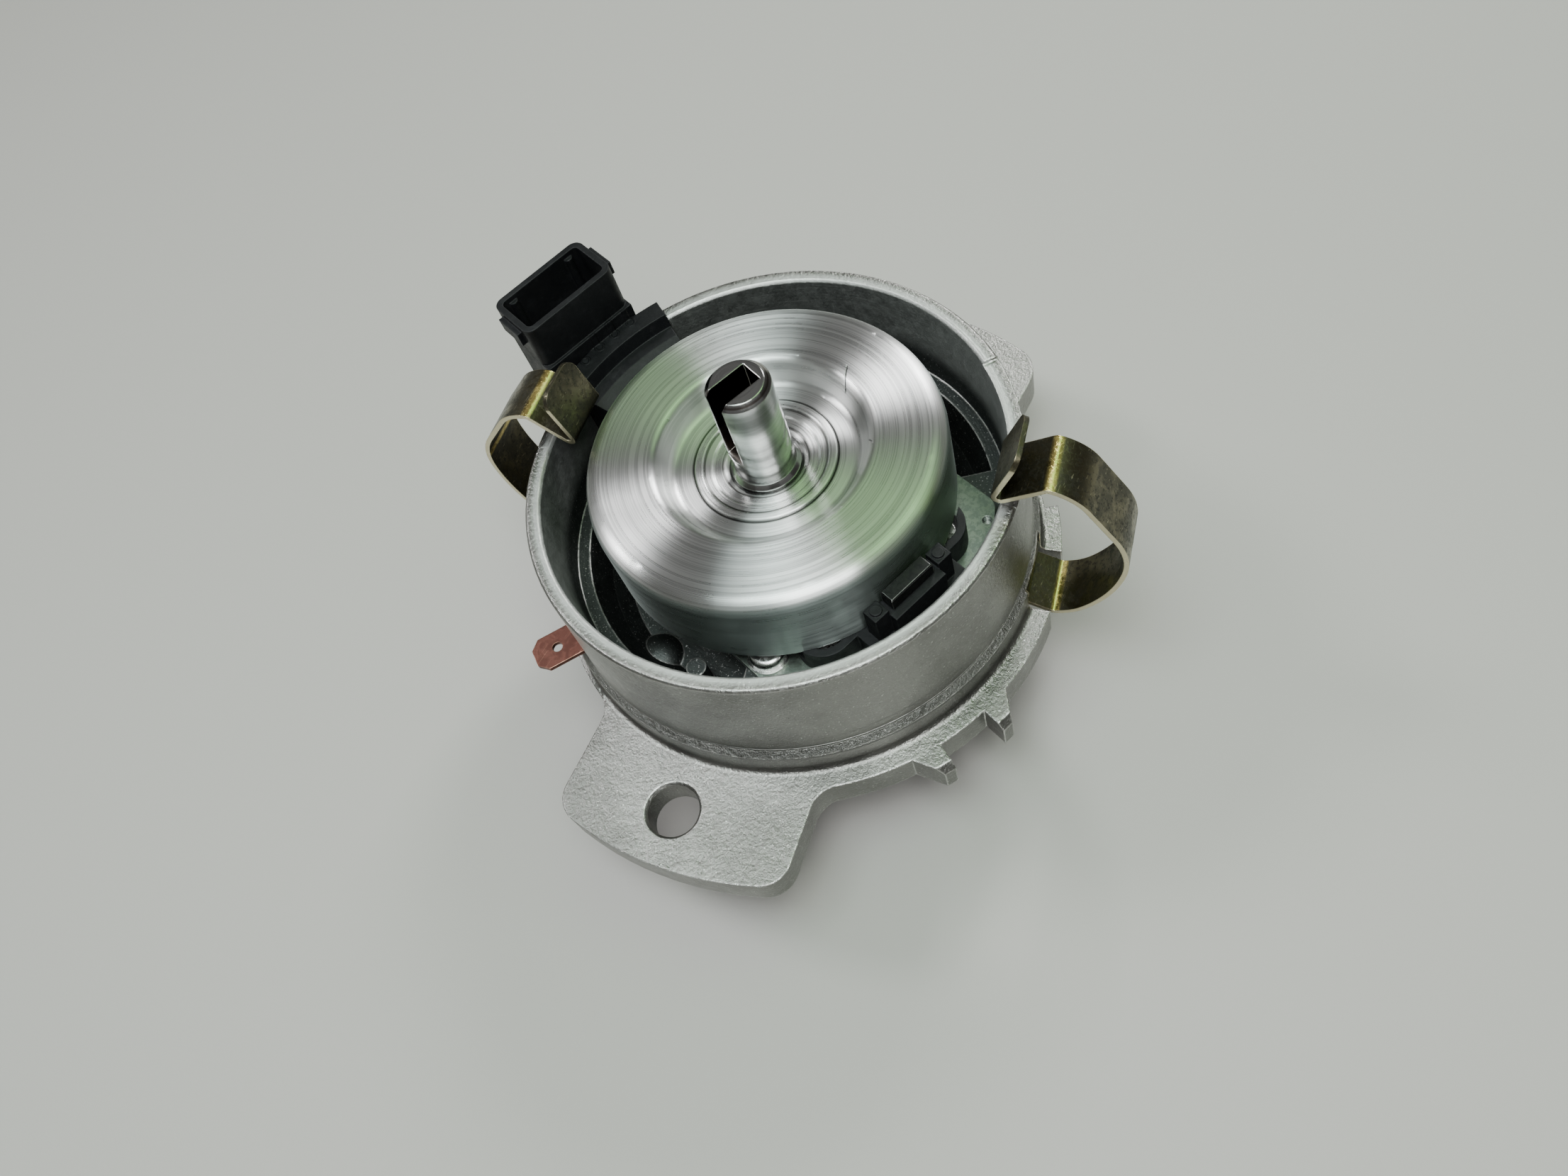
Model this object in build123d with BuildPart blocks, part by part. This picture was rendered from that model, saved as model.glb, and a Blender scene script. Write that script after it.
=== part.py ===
"""Ignition distributor with a one-window trigger cup, cap and rotor arm taken off.

Frame: +Z runs up the drive shaft, the origin lies on the shaft's axis in the mounting face of the
flange, and +X runs from the wide ear's hole to the narrow ear's hole. Azimuths are measured from
+X towards +Y. All sizes are in millimetres and degrees.
"""

import os
from math import cos, hypot, radians, sin

from build123d import *

os.makedirs("parts", exist_ok=True)

# Fits and clearances
press_clearance = 0.01
running_clearance = 0.03
axial_clearance = 0.05
seat_clearance = 0.15

# Cast bowl
rim_height = 32.5
rim_radius = 40.0
rim_width = 2.6
rim_chamfer = 0.4
wall_draft = 0.4
wall_foot_height = 12.0
inner_draft = 0.6
land_depth = 16.0
ledge_width = 2.2
collar_radius = 41.4
collar_bevel = 1.0
rim_step_depth = 0.6
rim_step_azimuths = (-80.0, -38.0)

# Pockets between the plate's land, the ledge and the bearing tower
pocket_depth = 7.5
pocket_inner_radius = 20.0
pocket_wall_slope = 2.4
pocket_floor_fillet = 2.5
land_azimuths = (197.0, 307.5)
pocket_boss_radius = 1.7
pocket_boss_height = 5.0
pocket_boss_place = (29.8, 179.0)
gusset_radius = 5.2
gusset_sink = 2.9
gusset_place = (31.0, 161.0)

# Flange with two ears and two index lugs
flange_thickness = 6.0
flange_radius = 42.6
flange_fillet = 1.0
flange_overlap = 3.0
apron_radius = 44.8
apron_azimuths = (200.0, 304.0)
ear_hole_radius = 4.3
ear_hole_chamfer = 0.5
ear_hole_line_y = -5.5
wide_ear_hole_x = -50.5
wide_ear_axis = 187.5
wide_ear_tip_radius = 60.0
wide_ear_half_angles = (27.5, 20.0)
wide_ear_corner = 5.0
narrow_ear_hole_x = 45.3
narrow_ear_axis = -7.0
narrow_ear_tip_radius = 56.3
narrow_ear_half_angles = (24.0, 15.5)
narrow_ear_corner = 6.5
ear_root_fillet = 5.0
lug_axis = 245.7
lug_tip_radius = 49.0
lug_gap_half_angle = 5.6
lug_half_angles = (12.1, 7.9)
lug_bevel = 1.2

# Spigot below the flange
spigot_radius = 19.0
spigot_length = 16.0
spigot_chamfer = 1.0
oring_wire = 3.0
oring_groove_top = 4.2
oring_groove_width = 3.6
oring_groove_depth = 2.3
coupling_recess_radius = 14.6
coupling_recess_depth = 8.6

# Bearing tower, bushes and shaft seal
tower_radius = 13.0
tower_height = 6.0
upper_bore_radius = 9.0
upper_bore_floor = 3.4
upper_bush_gap = 1.1
bush_flange_radius = 11.0
bush_flange_thickness = 1.5
lower_bore_radius = 7.5
lower_bush_length = 10.0
seal_height = 5.0
seal_wall = 1.2

# Drive shaft
shaft_radius = 5.0
journal_radius = 5.7
journal_rise = 0.2
shaft_rise = 19.4
shaft_foot = 14.6
shaft_chamfer = 0.9
key_slot_width = 4.0
key_slot_back = 2.8
key_slot_depth = 14.5
key_slot_runout = 1.2
key_slot_azimuth = 159.5

# Drive coupling, its cross pin and retaining ring
coupling_radius = 13.3
coupling_thickness = 5.4
coupling_washer_thickness = 0.6
coupling_washer_radius = 9.0
dog_width = 5.2
dog_height = 2.2
dog_offset = 0.8
dog_gap_radius = 6.6
dog_tip_inset = 0.9
cross_pin_radius = 1.75
retaining_wire = 1.2

# Thrust washer, hub and trigger cup
hub_washer_thickness = 0.5
hub_washer_radius = 9.0
hub_body_radius = 9.0
hub_flange_radius = 16.0
hub_flange_thickness = 2.2
hub_spigot_radius = 11.6
hub_bead_inner_radius = 9.9
hub_bead_rise = 0.35
hub_step_radius = 8.45
hub_step_drop = 0.3
hub_mouth_radius = 6.9
hub_mouth_depth = 0.9
cup_rise = 4.0
cup_radius = 28.9
cup_height = 14.6
cup_sheet = 1.2
cup_shoulder_radius = 2.6
cup_dish_depth = 3.7
cup_dish_radius = 14.9
cup_dish_top_radius = 17.4
cup_dish_round = 1.4
cup_seam = 0.1
window_azimuth = 30.0
window_angle = 60.0
window_height = 9.6

# Sensor plate: its own axis points from the shaft to the middle of the sensor
sensor_azimuth = 252.7
plate_thickness = 1.5
plate_half_width = 23.5
plate_inner_radius = 20.6
plate_edge_gap = 0.15
plate_corner = 3.0
plate_screw_place = (18.2, -20.0)
plate_screw_radius = 2.0
plate_screw_head_radius = 3.0
plate_screw_head_height = 1.9
plate_screw_length = 7.5
screw_recess_radius = 1.2
screw_recess_depth = 1.1
screw_washer_radius = 3.4
screw_washer_thickness = 0.7
dowel_radius = 0.8
dowel_place = (26.8, 20.1)
dowel_length = 5.0
dowel_recess = 1.2

# Hall sensor
sensor_half_width = 9.5
sensor_outer_radius = 36.2
sensor_web = 1.4
sensor_shoulder = 5.0
skirt_clearance = 0.55
rivet_spacing = 24.0
rivet_depth = 23.5
sensor_lug_radius = 5.0
rivet_radius = 1.6
rivet_head_radius = 3.5
rivet_head_height = 0.8
magnet_length = 8.4
magnet_depth = 2.5
magnet_height = 7.4
magnet_seat_depth = 4.0
magnet_seat_height = 5.0
post_spacing = 13.0
post_side = 2.7
post_height = 6.2
stake_radius = 0.95
stake_height = 0.4
stand_half_width = 4.5
stand_thickness = 3.4
stand_height = 9.6
chip_width = 4.4
chip_thickness = 1.5
chip_height = 4.0
chip_setback = 0.4

# Lead strip from the sensor to the connector, on the shelf round the tower
strip_inner_radius = 13.6
strip_outer_radius = 19.2
strip_thickness = 1.1
strip_end_azimuth = 236.0

# Connector in the bowl's cut-out
connector_azimuth = 72.5
connector_offset = 3.6
connector_front = 41.4
connector_width = 18.4
connector_depth = 10.7
connector_rise = 12.0
connector_drop = 9.0
connector_corner = 1.8
connector_foot_rise = 3.5
connector_foot_step = 0.6
socket_wall = 1.1
socket_depth = 13.0
socket_corner = 0.9
key_rib_radius = 0.8
key_rib_spacing = 12.0
key_rib_inset = 1.0
latch_drop = 1.0
latch_height = 2.6
latch_width = 5.6
latch_proud = 0.9
blade_count = 3
blade_pitch = 5.0
blade_width = 2.8
blade_thickness = 0.8
blade_height = 8.0
carrier_azimuths = (58.6, 90.8)
carrier_side_angle = 0.2
carrier_rise = 1.0
carrier_floor_depth = 13.5
carrier_outer_radius = 41.0
carrier_inner_radius = 30.2
carrier_inner_drop = 3.0
carrier_lip_radius = 34.4
carrier_lip_drop = 1.5
carrier_tail_width = 10.0

# Spring clips on pivot pins in the foot of the wall
clip_azimuths = {"right": -75.0, "left": 100.0}
clip_leans = {"right": 0.0, "left": 11.0}
clip_pivot_radius = 38.9
clip_pivot_height = 8.9
clip_width = 9.6
clip_sheet = 0.8
clip_pin_radius = 1.25
clip_pin_length = 19.0
clip_pin_drill = 5.0
clip_pin_exits = {"right": 90, "left": -90}
clip_side_gap = 0.9
clip_eye_gap = 0.4
clip_eye_turn = 285.0
clip_run_angle = -26.0
clip_run = 6.9
clip_crease_radius = 1.2
clip_foot_turn = 40.0
clip_loop_arcs = ((9.0, 34.0), (25.0, 31.0), (13.4, 40.5))
clip_loop_run = 7.9
clip_shoulder = (8.9, 43.4)
clip_shoulder_turn = 47.0
clip_hook_run = 6.8
clip_hook_radius = 0.9
clip_hook_turn = -144.0
clip_tab_run = 9.1
clip_tab_corner = 2.4
clip_bend_height = 23.6

# Blade terminal in the thick foot of the wall
terminal_azimuth = 146.5
terminal_height = 14.0
terminal_tip_radius = 48.3
terminal_width = 6.3
terminal_thickness = 0.8
terminal_corner = 1.6
terminal_hole_radius = 0.9
terminal_hole_from_tip = 4.2
terminal_seat_depth = 3.8

# Levels and radii that follow from the sizes above
rim_inner_radius = rim_radius - rim_width
wall_foot_radius = rim_radius + wall_draft
land_wall_radius = rim_inner_radius - inner_draft
ledge_inner_radius = land_wall_radius - ledge_width
land_height = rim_height - land_depth
pocket_floor_height = land_height - pocket_depth
carrier_floor_height = rim_height - carrier_floor_depth
carrier_inner_top = rim_height - carrier_inner_drop
carrier_lip_top = rim_height - carrier_lip_drop
tower_top = land_height + tower_height
recess_roof = coupling_recess_depth - spigot_length
seal_top = upper_bore_floor + seal_height
hub_bottom = tower_top + bush_flange_thickness + hub_washer_thickness + 2 * axial_clearance
cup_top = rim_height + cup_rise
dish_top = cup_top - cup_dish_depth
hub_seat = dish_top - cup_sheet
cup_bottom = cup_top - cup_height
shaft_top = rim_height + shaft_rise
journal_top = dish_top + journal_rise
coupling_top = recess_roof - coupling_washer_thickness - 2 * axial_clearance
cross_pin_height = coupling_top - coupling_thickness / 2
plate_top = land_height + plate_thickness
magnet_face = cup_radius + skirt_clearance
connector_mouth = rim_height + connector_rise
socket_floor = connector_mouth - socket_depth
clip_eye_radius = clip_pin_radius + running_clearance + clip_sheet / 2
clip_scale = (rim_height - clip_pivot_height) / clip_bend_height


def polar(radius, azimuth):
    """Point at a radius and an azimuth."""
    return (radius * cos(radians(azimuth)), radius * sin(radians(azimuth)))


def radial_plane(azimuth):
    """Upright plane through the axis: its x runs outwards and its y runs up."""
    out = polar(1, azimuth)
    return Plane(origin=(0, 0, 0), x_dir=(*out, 0), z_dir=(out[1], -out[0], 0))


def level_plane(azimuth, height):
    """Level plane whose x runs outwards at the azimuth."""
    return Plane(origin=(0, 0, height), x_dir=(*polar(1, azimuth), 0), z_dir=(0, 0, 1))


def ring(profile, azimuths=(0, 360), mode=Mode.ADD):
    """Turn a closed outline of (radius, height) points about the axis, between two azimuths."""
    with BuildSketch(radial_plane(azimuths[0])) as section:
        with BuildLine():
            Polyline(*profile, close=True)
        make_face()
    revolve(section.sketch, axis=Axis.Z, revolution_arc=azimuths[1] - azimuths[0], mode=mode)


def wedge(radius, azimuths):
    """Pie-shaped face from the axis out to a radius."""
    with BuildSketch() as pie:
        with BuildLine():
            Line((0, 0), polar(radius, azimuths[0]))
            CenterArc((0, 0), radius, azimuths[0], azimuths[1] - azimuths[0])
            Line(polar(radius, azimuths[1]), (0, 0))
        make_face()
    return pie.sketch


def ear_sketch(axis, tip_radius, half_angles, corner):
    """Tapered flange ear with a tip that is round about the shaft."""
    root, tip = half_angles
    with BuildSketch() as ear:
        with BuildLine():
            Line((0, 0), polar(flange_radius, axis - root))
            Line(polar(flange_radius, axis - root), polar(tip_radius, axis - tip))
            CenterArc((0, 0), tip_radius, axis - tip, 2 * tip)
            Line(polar(tip_radius, axis + tip), polar(flange_radius, axis + root))
            Line(polar(flange_radius, axis + root), (0, 0))
        make_face()
        fillet(ear.vertices().filter_by(lambda v: hypot(v.X, v.Y) > flange_radius + 1), corner)
    return ear.sketch


def ear_roots(vertices):
    """Corners where the edges of the two ears run into the flange's round outline."""
    roots = [wide_ear_axis - wide_ear_half_angles[0], wide_ear_axis + wide_ear_half_angles[0]]
    roots += [narrow_ear_axis - narrow_ear_half_angles[0], narrow_ear_axis + narrow_ear_half_angles[0]]
    return [
        vertex
        for vertex in vertices
        if flange_radius - 0.1 < hypot(vertex.X, vertex.Y) < apron_radius + 0.1
        and any(
            hypot(vertex.X - polar(flange_radius, root)[0], vertex.Y - polar(flange_radius, root)[1])
            < ear_root_fillet
            for root in roots
        )
    ]


def lug_sketch(side):
    """Index lug on one side of the gap that locates the flange."""
    start = lug_axis + side * lug_gap_half_angle
    with BuildSketch() as lug:
        with BuildLine():
            Polyline(
                (0, 0),
                polar(lug_tip_radius, start),
                polar(lug_tip_radius, lug_axis + side * lug_half_angles[1]),
                polar(apron_radius, lug_axis + side * lug_half_angles[0]),
                close=True,
            )
        make_face()
    return lug.sketch


def near(shape_list, radius, height, slack=0.01):
    """Edges that run round the axis at one radius and one height."""
    return [
        edge
        for edge in shape_list
        if abs(hypot((edge @ 0.37).X, (edge @ 0.37).Y) - radius) < slack
        and abs((edge @ 0.37).Z - height) < slack
        and abs(hypot((edge @ 0.61).X, (edge @ 0.61).Y) - radius) < slack
        and abs((edge @ 0.61).Z - height) < slack
    ]


# Housing: spigot, flange, collar, bowl wall and bearing tower in one casting
groove_bottom = -oring_groove_top - oring_groove_width
with BuildPart() as housing:
    ring(
        (
            (coupling_recess_radius, -spigot_length),
            (spigot_radius - spigot_chamfer, -spigot_length),
            (spigot_radius, spigot_chamfer - spigot_length),
            (spigot_radius, groove_bottom),
            (spigot_radius - oring_groove_depth, groove_bottom),
            (spigot_radius - oring_groove_depth, -oring_groove_top),
            (spigot_radius, -oring_groove_top),
            (spigot_radius, 0),
            (collar_radius, 0),
            (collar_radius, wall_foot_height - collar_bevel),
            (wall_foot_radius, wall_foot_height),
            (rim_radius, rim_height - rim_chamfer),
            (rim_radius - rim_chamfer, rim_height),
            (rim_inner_radius + rim_chamfer, rim_height),
            (rim_inner_radius, rim_height - rim_chamfer),
            (land_wall_radius, land_height),
            (tower_radius, land_height),
            (tower_radius, tower_top),
            (upper_bore_radius, tower_top),
            (upper_bore_radius, upper_bore_floor),
            (lower_bore_radius, upper_bore_floor),
            (lower_bore_radius, recess_roof),
            (coupling_recess_radius, recess_roof),
        )
    )
    with BuildSketch(Plane.XY) as flange_outline:
        Circle(flange_radius)
        add(wedge(apron_radius, apron_azimuths))
        add(ear_sketch(wide_ear_axis, wide_ear_tip_radius, wide_ear_half_angles, wide_ear_corner))
        add(
            ear_sketch(
                narrow_ear_axis, narrow_ear_tip_radius, narrow_ear_half_angles, narrow_ear_corner
            )
        )
        add(lug_sketch(-1))
        add(lug_sketch(1))
        with Locations((wide_ear_hole_x, ear_hole_line_y), (narrow_ear_hole_x, ear_hole_line_y)):
            Circle(ear_hole_radius, mode=Mode.SUBTRACT)
        Circle(collar_radius - flange_overlap, mode=Mode.SUBTRACT)
        fillet(ear_roots(flange_outline.vertices()), ear_root_fillet)
    extrude(amount=flange_thickness)
    fillet(near(housing.edges(), collar_radius, flange_thickness), flange_fillet)
    hole_rims = [
        edge
        for x in (wide_ear_hole_x, narrow_ear_hole_x)
        for edge in housing.edges().filter_by(GeomType.CIRCLE)
        if abs(edge.radius - ear_hole_radius) < 0.01 and abs(edge.arc_center.X - x) < 0.01
    ]
    chamfer(hole_rims, ear_hole_chamfer)
    lug_tips = near(housing.edges(), lug_tip_radius, flange_thickness, 0.2)
    chamfer(lug_tips, lug_bevel)

    # Pockets of the floor, with the plate's land left between them
    pocket_azimuths = (land_azimuths[1] - 360, land_azimuths[0])
    ring(
        (
            (pocket_inner_radius, land_height + 1),
            (pocket_inner_radius, pocket_floor_height + pocket_floor_fillet),
            (pocket_inner_radius + pocket_floor_fillet, pocket_floor_height),
            (
                ledge_inner_radius - pocket_wall_slope - pocket_floor_fillet,
                pocket_floor_height,
            ),
            (
                ledge_inner_radius - pocket_wall_slope,
                pocket_floor_height + pocket_floor_fillet,
            ),
            (ledge_inner_radius, land_height),
            (ledge_inner_radius, land_height + 1),
        ),
        pocket_azimuths,
        mode=Mode.SUBTRACT,
    )
    with BuildSketch(Plane.XY.offset(pocket_floor_height)):
        with Locations(polar(*pocket_boss_place)):
            Circle(pocket_boss_radius)
    extrude(amount=pocket_boss_height)
    with Locations((*polar(*gusset_place), pocket_floor_height - gusset_sink)):
        Sphere(gusset_radius)

    # Cut-out for the connector and the lowered stretch of rim beside the right clip
    ring(
        (
            (ledge_inner_radius, carrier_floor_height),
            (collar_radius + 1, carrier_floor_height),
            (collar_radius + 1, rim_height + 1),
            (ledge_inner_radius, rim_height + 1),
        ),
        carrier_azimuths,
        mode=Mode.SUBTRACT,
    )
    ring(
        (
            (rim_inner_radius - 1, rim_height - rim_step_depth),
            (rim_radius + 1, rim_height - rim_step_depth),
            (rim_radius + 1, rim_height + 1),
            (rim_inner_radius - 1, rim_height + 1),
        ),
        rim_step_azimuths,
        mode=Mode.SUBTRACT,
    )

    # Slots and pin holes of the clips
    slot_inner = clip_pivot_radius - clip_eye_radius - clip_sheet / 2 - clip_eye_gap
    slot_roof = clip_pivot_height + clip_eye_radius + clip_sheet / 2 + clip_eye_gap
    slot_width = clip_width + 2 * clip_side_gap
    for side, azimuth in clip_azimuths.items():
        with BuildSketch(level_plane(azimuth, -1)):
            with Locations(((slot_inner + apron_radius + 2) / 2, 0)):
                Rectangle(apron_radius + 2 - slot_inner, slot_width)
        extrude(amount=slot_roof + 1, mode=Mode.SUBTRACT)
        out = polar(clip_pivot_radius, azimuth)
        exit_side = polar(clip_pin_length / 2 + clip_pin_drill, azimuth + clip_pin_exits[side])
        drilled = clip_pin_length + clip_pin_drill
        drill_start = (out[0] + exit_side[0], out[1] + exit_side[1], clip_pivot_height)
        with BuildSketch(Plane(origin=drill_start, z_dir=(-exit_side[0], -exit_side[1], 0))):
            Circle(clip_pin_radius + press_clearance)
        extrude(amount=drilled, mode=Mode.SUBTRACT)

    # Blind slot of the blade terminal
    with BuildSketch(level_plane(terminal_azimuth, terminal_height - terminal_thickness / 2)):
        with Locations((wall_foot_radius - terminal_seat_depth / 2 + 1, 0)):
            Rectangle(terminal_seat_depth + 2, terminal_width + 2 * press_clearance)
    extrude(amount=terminal_thickness, mode=Mode.SUBTRACT)

    # Tapped hole and dowel hole in the plate's land
    with BuildSketch(level_plane(sensor_azimuth, land_height)):
        with Locations(plate_screw_place):
            Circle(plate_screw_radius + press_clearance)
        with Locations(dowel_place):
            Circle(dowel_radius + press_clearance)
    extrude(amount=-plate_screw_length, mode=Mode.SUBTRACT)
housing.part.label = "housing"

# Sealing ring in the spigot's groove
oring_centre = spigot_radius - oring_groove_depth + oring_wire / 2
with BuildPart() as spigot_o_ring:
    with BuildSketch(Plane.XZ):
        with Locations((oring_centre + press_clearance, groove_bottom + oring_groove_width / 2)):
            Circle(oring_wire / 2)
    revolve(axis=Axis.Z)
spigot_o_ring.part.label = "spigot_o_ring"

# Sintered bushes
with BuildPart() as lower_bush:
    ring(
        (
            (journal_radius + running_clearance, upper_bore_floor - lower_bush_length),
            (lower_bore_radius - press_clearance, upper_bore_floor - lower_bush_length),
            (lower_bore_radius - press_clearance, upper_bore_floor),
            (journal_radius + running_clearance, upper_bore_floor),
        )
    )
lower_bush.part.label = "lower_bush"

with BuildPart() as upper_bush:
    ring(
        (
            (journal_radius + running_clearance, seal_top + upper_bush_gap),
            (upper_bore_radius - press_clearance, seal_top + upper_bush_gap),
            (upper_bore_radius - press_clearance, tower_top),
            (bush_flange_radius, tower_top),
            (bush_flange_radius, tower_top + bush_flange_thickness),
            (journal_radius + running_clearance, tower_top + bush_flange_thickness),
        )
    )
upper_bush.part.label = "upper_bush"

# Lip seal below the upper bush
with BuildPart() as shaft_seal:
    seal_outer = upper_bore_radius - press_clearance
    ring(
        (
            (journal_radius + running_clearance, upper_bore_floor + seal_height / 2),
            (journal_radius + seal_wall, upper_bore_floor + seal_wall),
            (seal_outer - seal_wall, upper_bore_floor + seal_wall),
            (seal_outer - seal_wall, upper_bore_floor),
            (seal_outer, upper_bore_floor),
            (seal_outer, seal_top),
            (journal_radius + seal_wall, seal_top),
            (journal_radius + seal_wall, upper_bore_floor + seal_height / 2 + seal_wall / 2),
        )
    )
shaft_seal.part.label = "shaft_seal"

# Drive shaft with the rotor arm's key slot in its top
with BuildPart() as drive_shaft:
    ring(
        (
            (0, -shaft_foot),
            (journal_radius - shaft_chamfer, -shaft_foot),
            (journal_radius, shaft_chamfer - shaft_foot),
            (journal_radius, journal_top - journal_radius + shaft_radius),
            (shaft_radius, journal_top),
            (shaft_radius, shaft_top - shaft_chamfer),
            (shaft_radius - shaft_chamfer, shaft_top),
            (0, shaft_top),
        ),
        (key_slot_azimuth, key_slot_azimuth + 360),
    )
    with BuildSketch(radial_plane(key_slot_azimuth)):
        with BuildLine():
            Polyline(
                (-key_slot_back, shaft_top + 1),
                (-key_slot_back, shaft_top - key_slot_depth + key_slot_runout),
                (shaft_radius + 1, shaft_top - key_slot_depth),
                (shaft_radius + 1, shaft_top + 1),
                close=True,
            )
        make_face()
    extrude(amount=key_slot_width / 2, both=True, mode=Mode.SUBTRACT)
    with BuildSketch(Plane.XZ):
        with Locations((0, cross_pin_height)):
            Circle(cross_pin_radius + press_clearance)
    extrude(amount=journal_radius + 1, both=True, mode=Mode.SUBTRACT)
drive_shaft.part.label = "drive_shaft"

# Drive coupling with two offset dogs
with BuildPart() as drive_coupling:
    groove_half = retaining_wire / 2 + press_clearance
    ring(
        (
            (journal_radius + press_clearance, coupling_top - coupling_thickness),
            (coupling_radius, coupling_top - coupling_thickness),
            (coupling_radius, cross_pin_height - groove_half),
            (coupling_radius - groove_half, cross_pin_height - groove_half),
            (coupling_radius - groove_half, cross_pin_height + groove_half),
            (coupling_radius, cross_pin_height + groove_half),
            (coupling_radius, coupling_top),
            (journal_radius + press_clearance, coupling_top),
        )
    )
    with BuildSketch(Plane.XY.offset(coupling_top - coupling_thickness)):
        with Locations((0, dog_offset)):
            Rectangle(2 * coupling_radius, dog_width)
        Circle(coupling_radius - dog_tip_inset, mode=Mode.INTERSECT)
        Circle(dog_gap_radius, mode=Mode.SUBTRACT)
    extrude(amount=-dog_height)
    with BuildSketch(Plane.XZ):
        with Locations((0, cross_pin_height)):
            Circle(cross_pin_radius + press_clearance)
    extrude(amount=coupling_radius + 1, both=True, mode=Mode.SUBTRACT)
drive_coupling.part.label = "drive_coupling"

with BuildPart() as coupling_pin:
    with BuildSketch(Plane.XZ):
        with Locations((0, cross_pin_height)):
            Circle(cross_pin_radius)
    extrude(amount=coupling_radius - retaining_wire / 2 - 2 * press_clearance, both=True)
    chamfer(coupling_pin.edges().filter_by(GeomType.CIRCLE), rim_chamfer)
coupling_pin.part.label = "coupling_pin"

with BuildPart() as coupling_ring:
    with BuildSketch(Plane.XZ):
        with Locations((coupling_radius + press_clearance, cross_pin_height)):
            Circle(retaining_wire / 2)
    revolve(axis=Axis.Z)
coupling_ring.part.label = "coupling_ring"


def washer(outer, inner, bottom, thickness):
    """Flat ring standing on a level."""
    ring(((inner, bottom), (outer, bottom), (outer, bottom + thickness), (inner, bottom + thickness)))


with BuildPart() as coupling_washer:
    washer(
        coupling_washer_radius,
        journal_radius + seat_clearance,
        coupling_top + axial_clearance,
        coupling_washer_thickness,
    )
coupling_washer.part.label = "coupling_washer"

with BuildPart() as hub_washer:
    washer(
        hub_washer_radius,
        journal_radius + seat_clearance,
        hub_bottom - axial_clearance - hub_washer_thickness,
        hub_washer_thickness,
    )
hub_washer.part.label = "hub_washer"

# Hub that carries the trigger cup on the shaft
with BuildPart() as cup_hub:
    ring(
        (
            (journal_radius + press_clearance, hub_bottom),
            (hub_body_radius, hub_bottom),
            (hub_body_radius, hub_seat - hub_flange_thickness),
            (hub_flange_radius, hub_seat - hub_flange_thickness),
            (hub_flange_radius, hub_seat),
            (hub_spigot_radius, hub_seat),
            (hub_spigot_radius, dish_top),
            (hub_spigot_radius - hub_bead_rise, dish_top + hub_bead_rise),
            (hub_bead_inner_radius + hub_bead_rise, dish_top + hub_bead_rise),
            (hub_bead_inner_radius, dish_top),
            (hub_step_radius + hub_step_drop, dish_top),
            (hub_step_radius, dish_top - hub_step_drop),
            (hub_mouth_radius, dish_top - hub_step_drop),
            (journal_radius + press_clearance, dish_top - hub_step_drop - hub_mouth_depth),
        )
    )
cup_hub.part.label = "cup_hub"

# Deep-drawn trigger cup: dished centre, round shoulder and a skirt with one window
with BuildPart() as trigger_cup:
    inner_shoulder = cup_shoulder_radius - cup_sheet
    with BuildSketch(Plane.XZ) as cup_section:
        with BuildLine():
            Line((hub_spigot_radius + cup_seam, hub_seat), (hub_spigot_radius + cup_seam, dish_top))
            Line((hub_spigot_radius + cup_seam, dish_top), (cup_dish_radius, dish_top))
            Line((cup_dish_radius, dish_top), (cup_dish_top_radius, cup_top))
            Line((cup_dish_top_radius, cup_top), (cup_radius - cup_shoulder_radius, cup_top))
            CenterArc(
                (cup_radius - cup_shoulder_radius, cup_top - cup_shoulder_radius),
                cup_shoulder_radius,
                90,
                -90,
            )
            Line((cup_radius, cup_top - cup_shoulder_radius), (cup_radius, cup_bottom))
            Line((cup_radius, cup_bottom), (cup_radius - cup_sheet, cup_bottom))
            Line(
                (cup_radius - cup_sheet, cup_bottom),
                (cup_radius - cup_sheet, cup_top - cup_shoulder_radius),
            )
            CenterArc(
                (cup_radius - cup_shoulder_radius, cup_top - cup_shoulder_radius),
                inner_shoulder,
                0,
                90,
            )
            Line(
                (cup_radius - cup_shoulder_radius, cup_top - cup_sheet),
                (cup_dish_top_radius + cup_sheet / 2, cup_top - cup_sheet),
            )
            Line(
                (cup_dish_top_radius + cup_sheet / 2, cup_top - cup_sheet),
                (cup_dish_radius + cup_sheet, hub_seat),
            )
            Line((cup_dish_radius + cup_sheet, hub_seat), (hub_spigot_radius + cup_seam, hub_seat))
        make_face()
        dish_bends = cup_section.vertices().filter_by(
            lambda v: cup_dish_radius - 0.1 < v.X < cup_dish_top_radius + cup_sheet
        )
        fillet(dish_bends, cup_dish_round)
    revolve(axis=Axis.Z)
    window_start = window_azimuth - window_angle / 2
    ring(
        (
            (cup_radius - cup_sheet - 0.5, cup_bottom - 1),
            (cup_radius + 1, cup_bottom - 1),
            (cup_radius + 1, cup_bottom + window_height),
            (cup_radius - cup_sheet - 0.5, cup_bottom + window_height),
        ),
        (window_start, window_start + window_angle),
        mode=Mode.SUBTRACT,
    )
trigger_cup.part.label = "trigger_cup"

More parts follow.
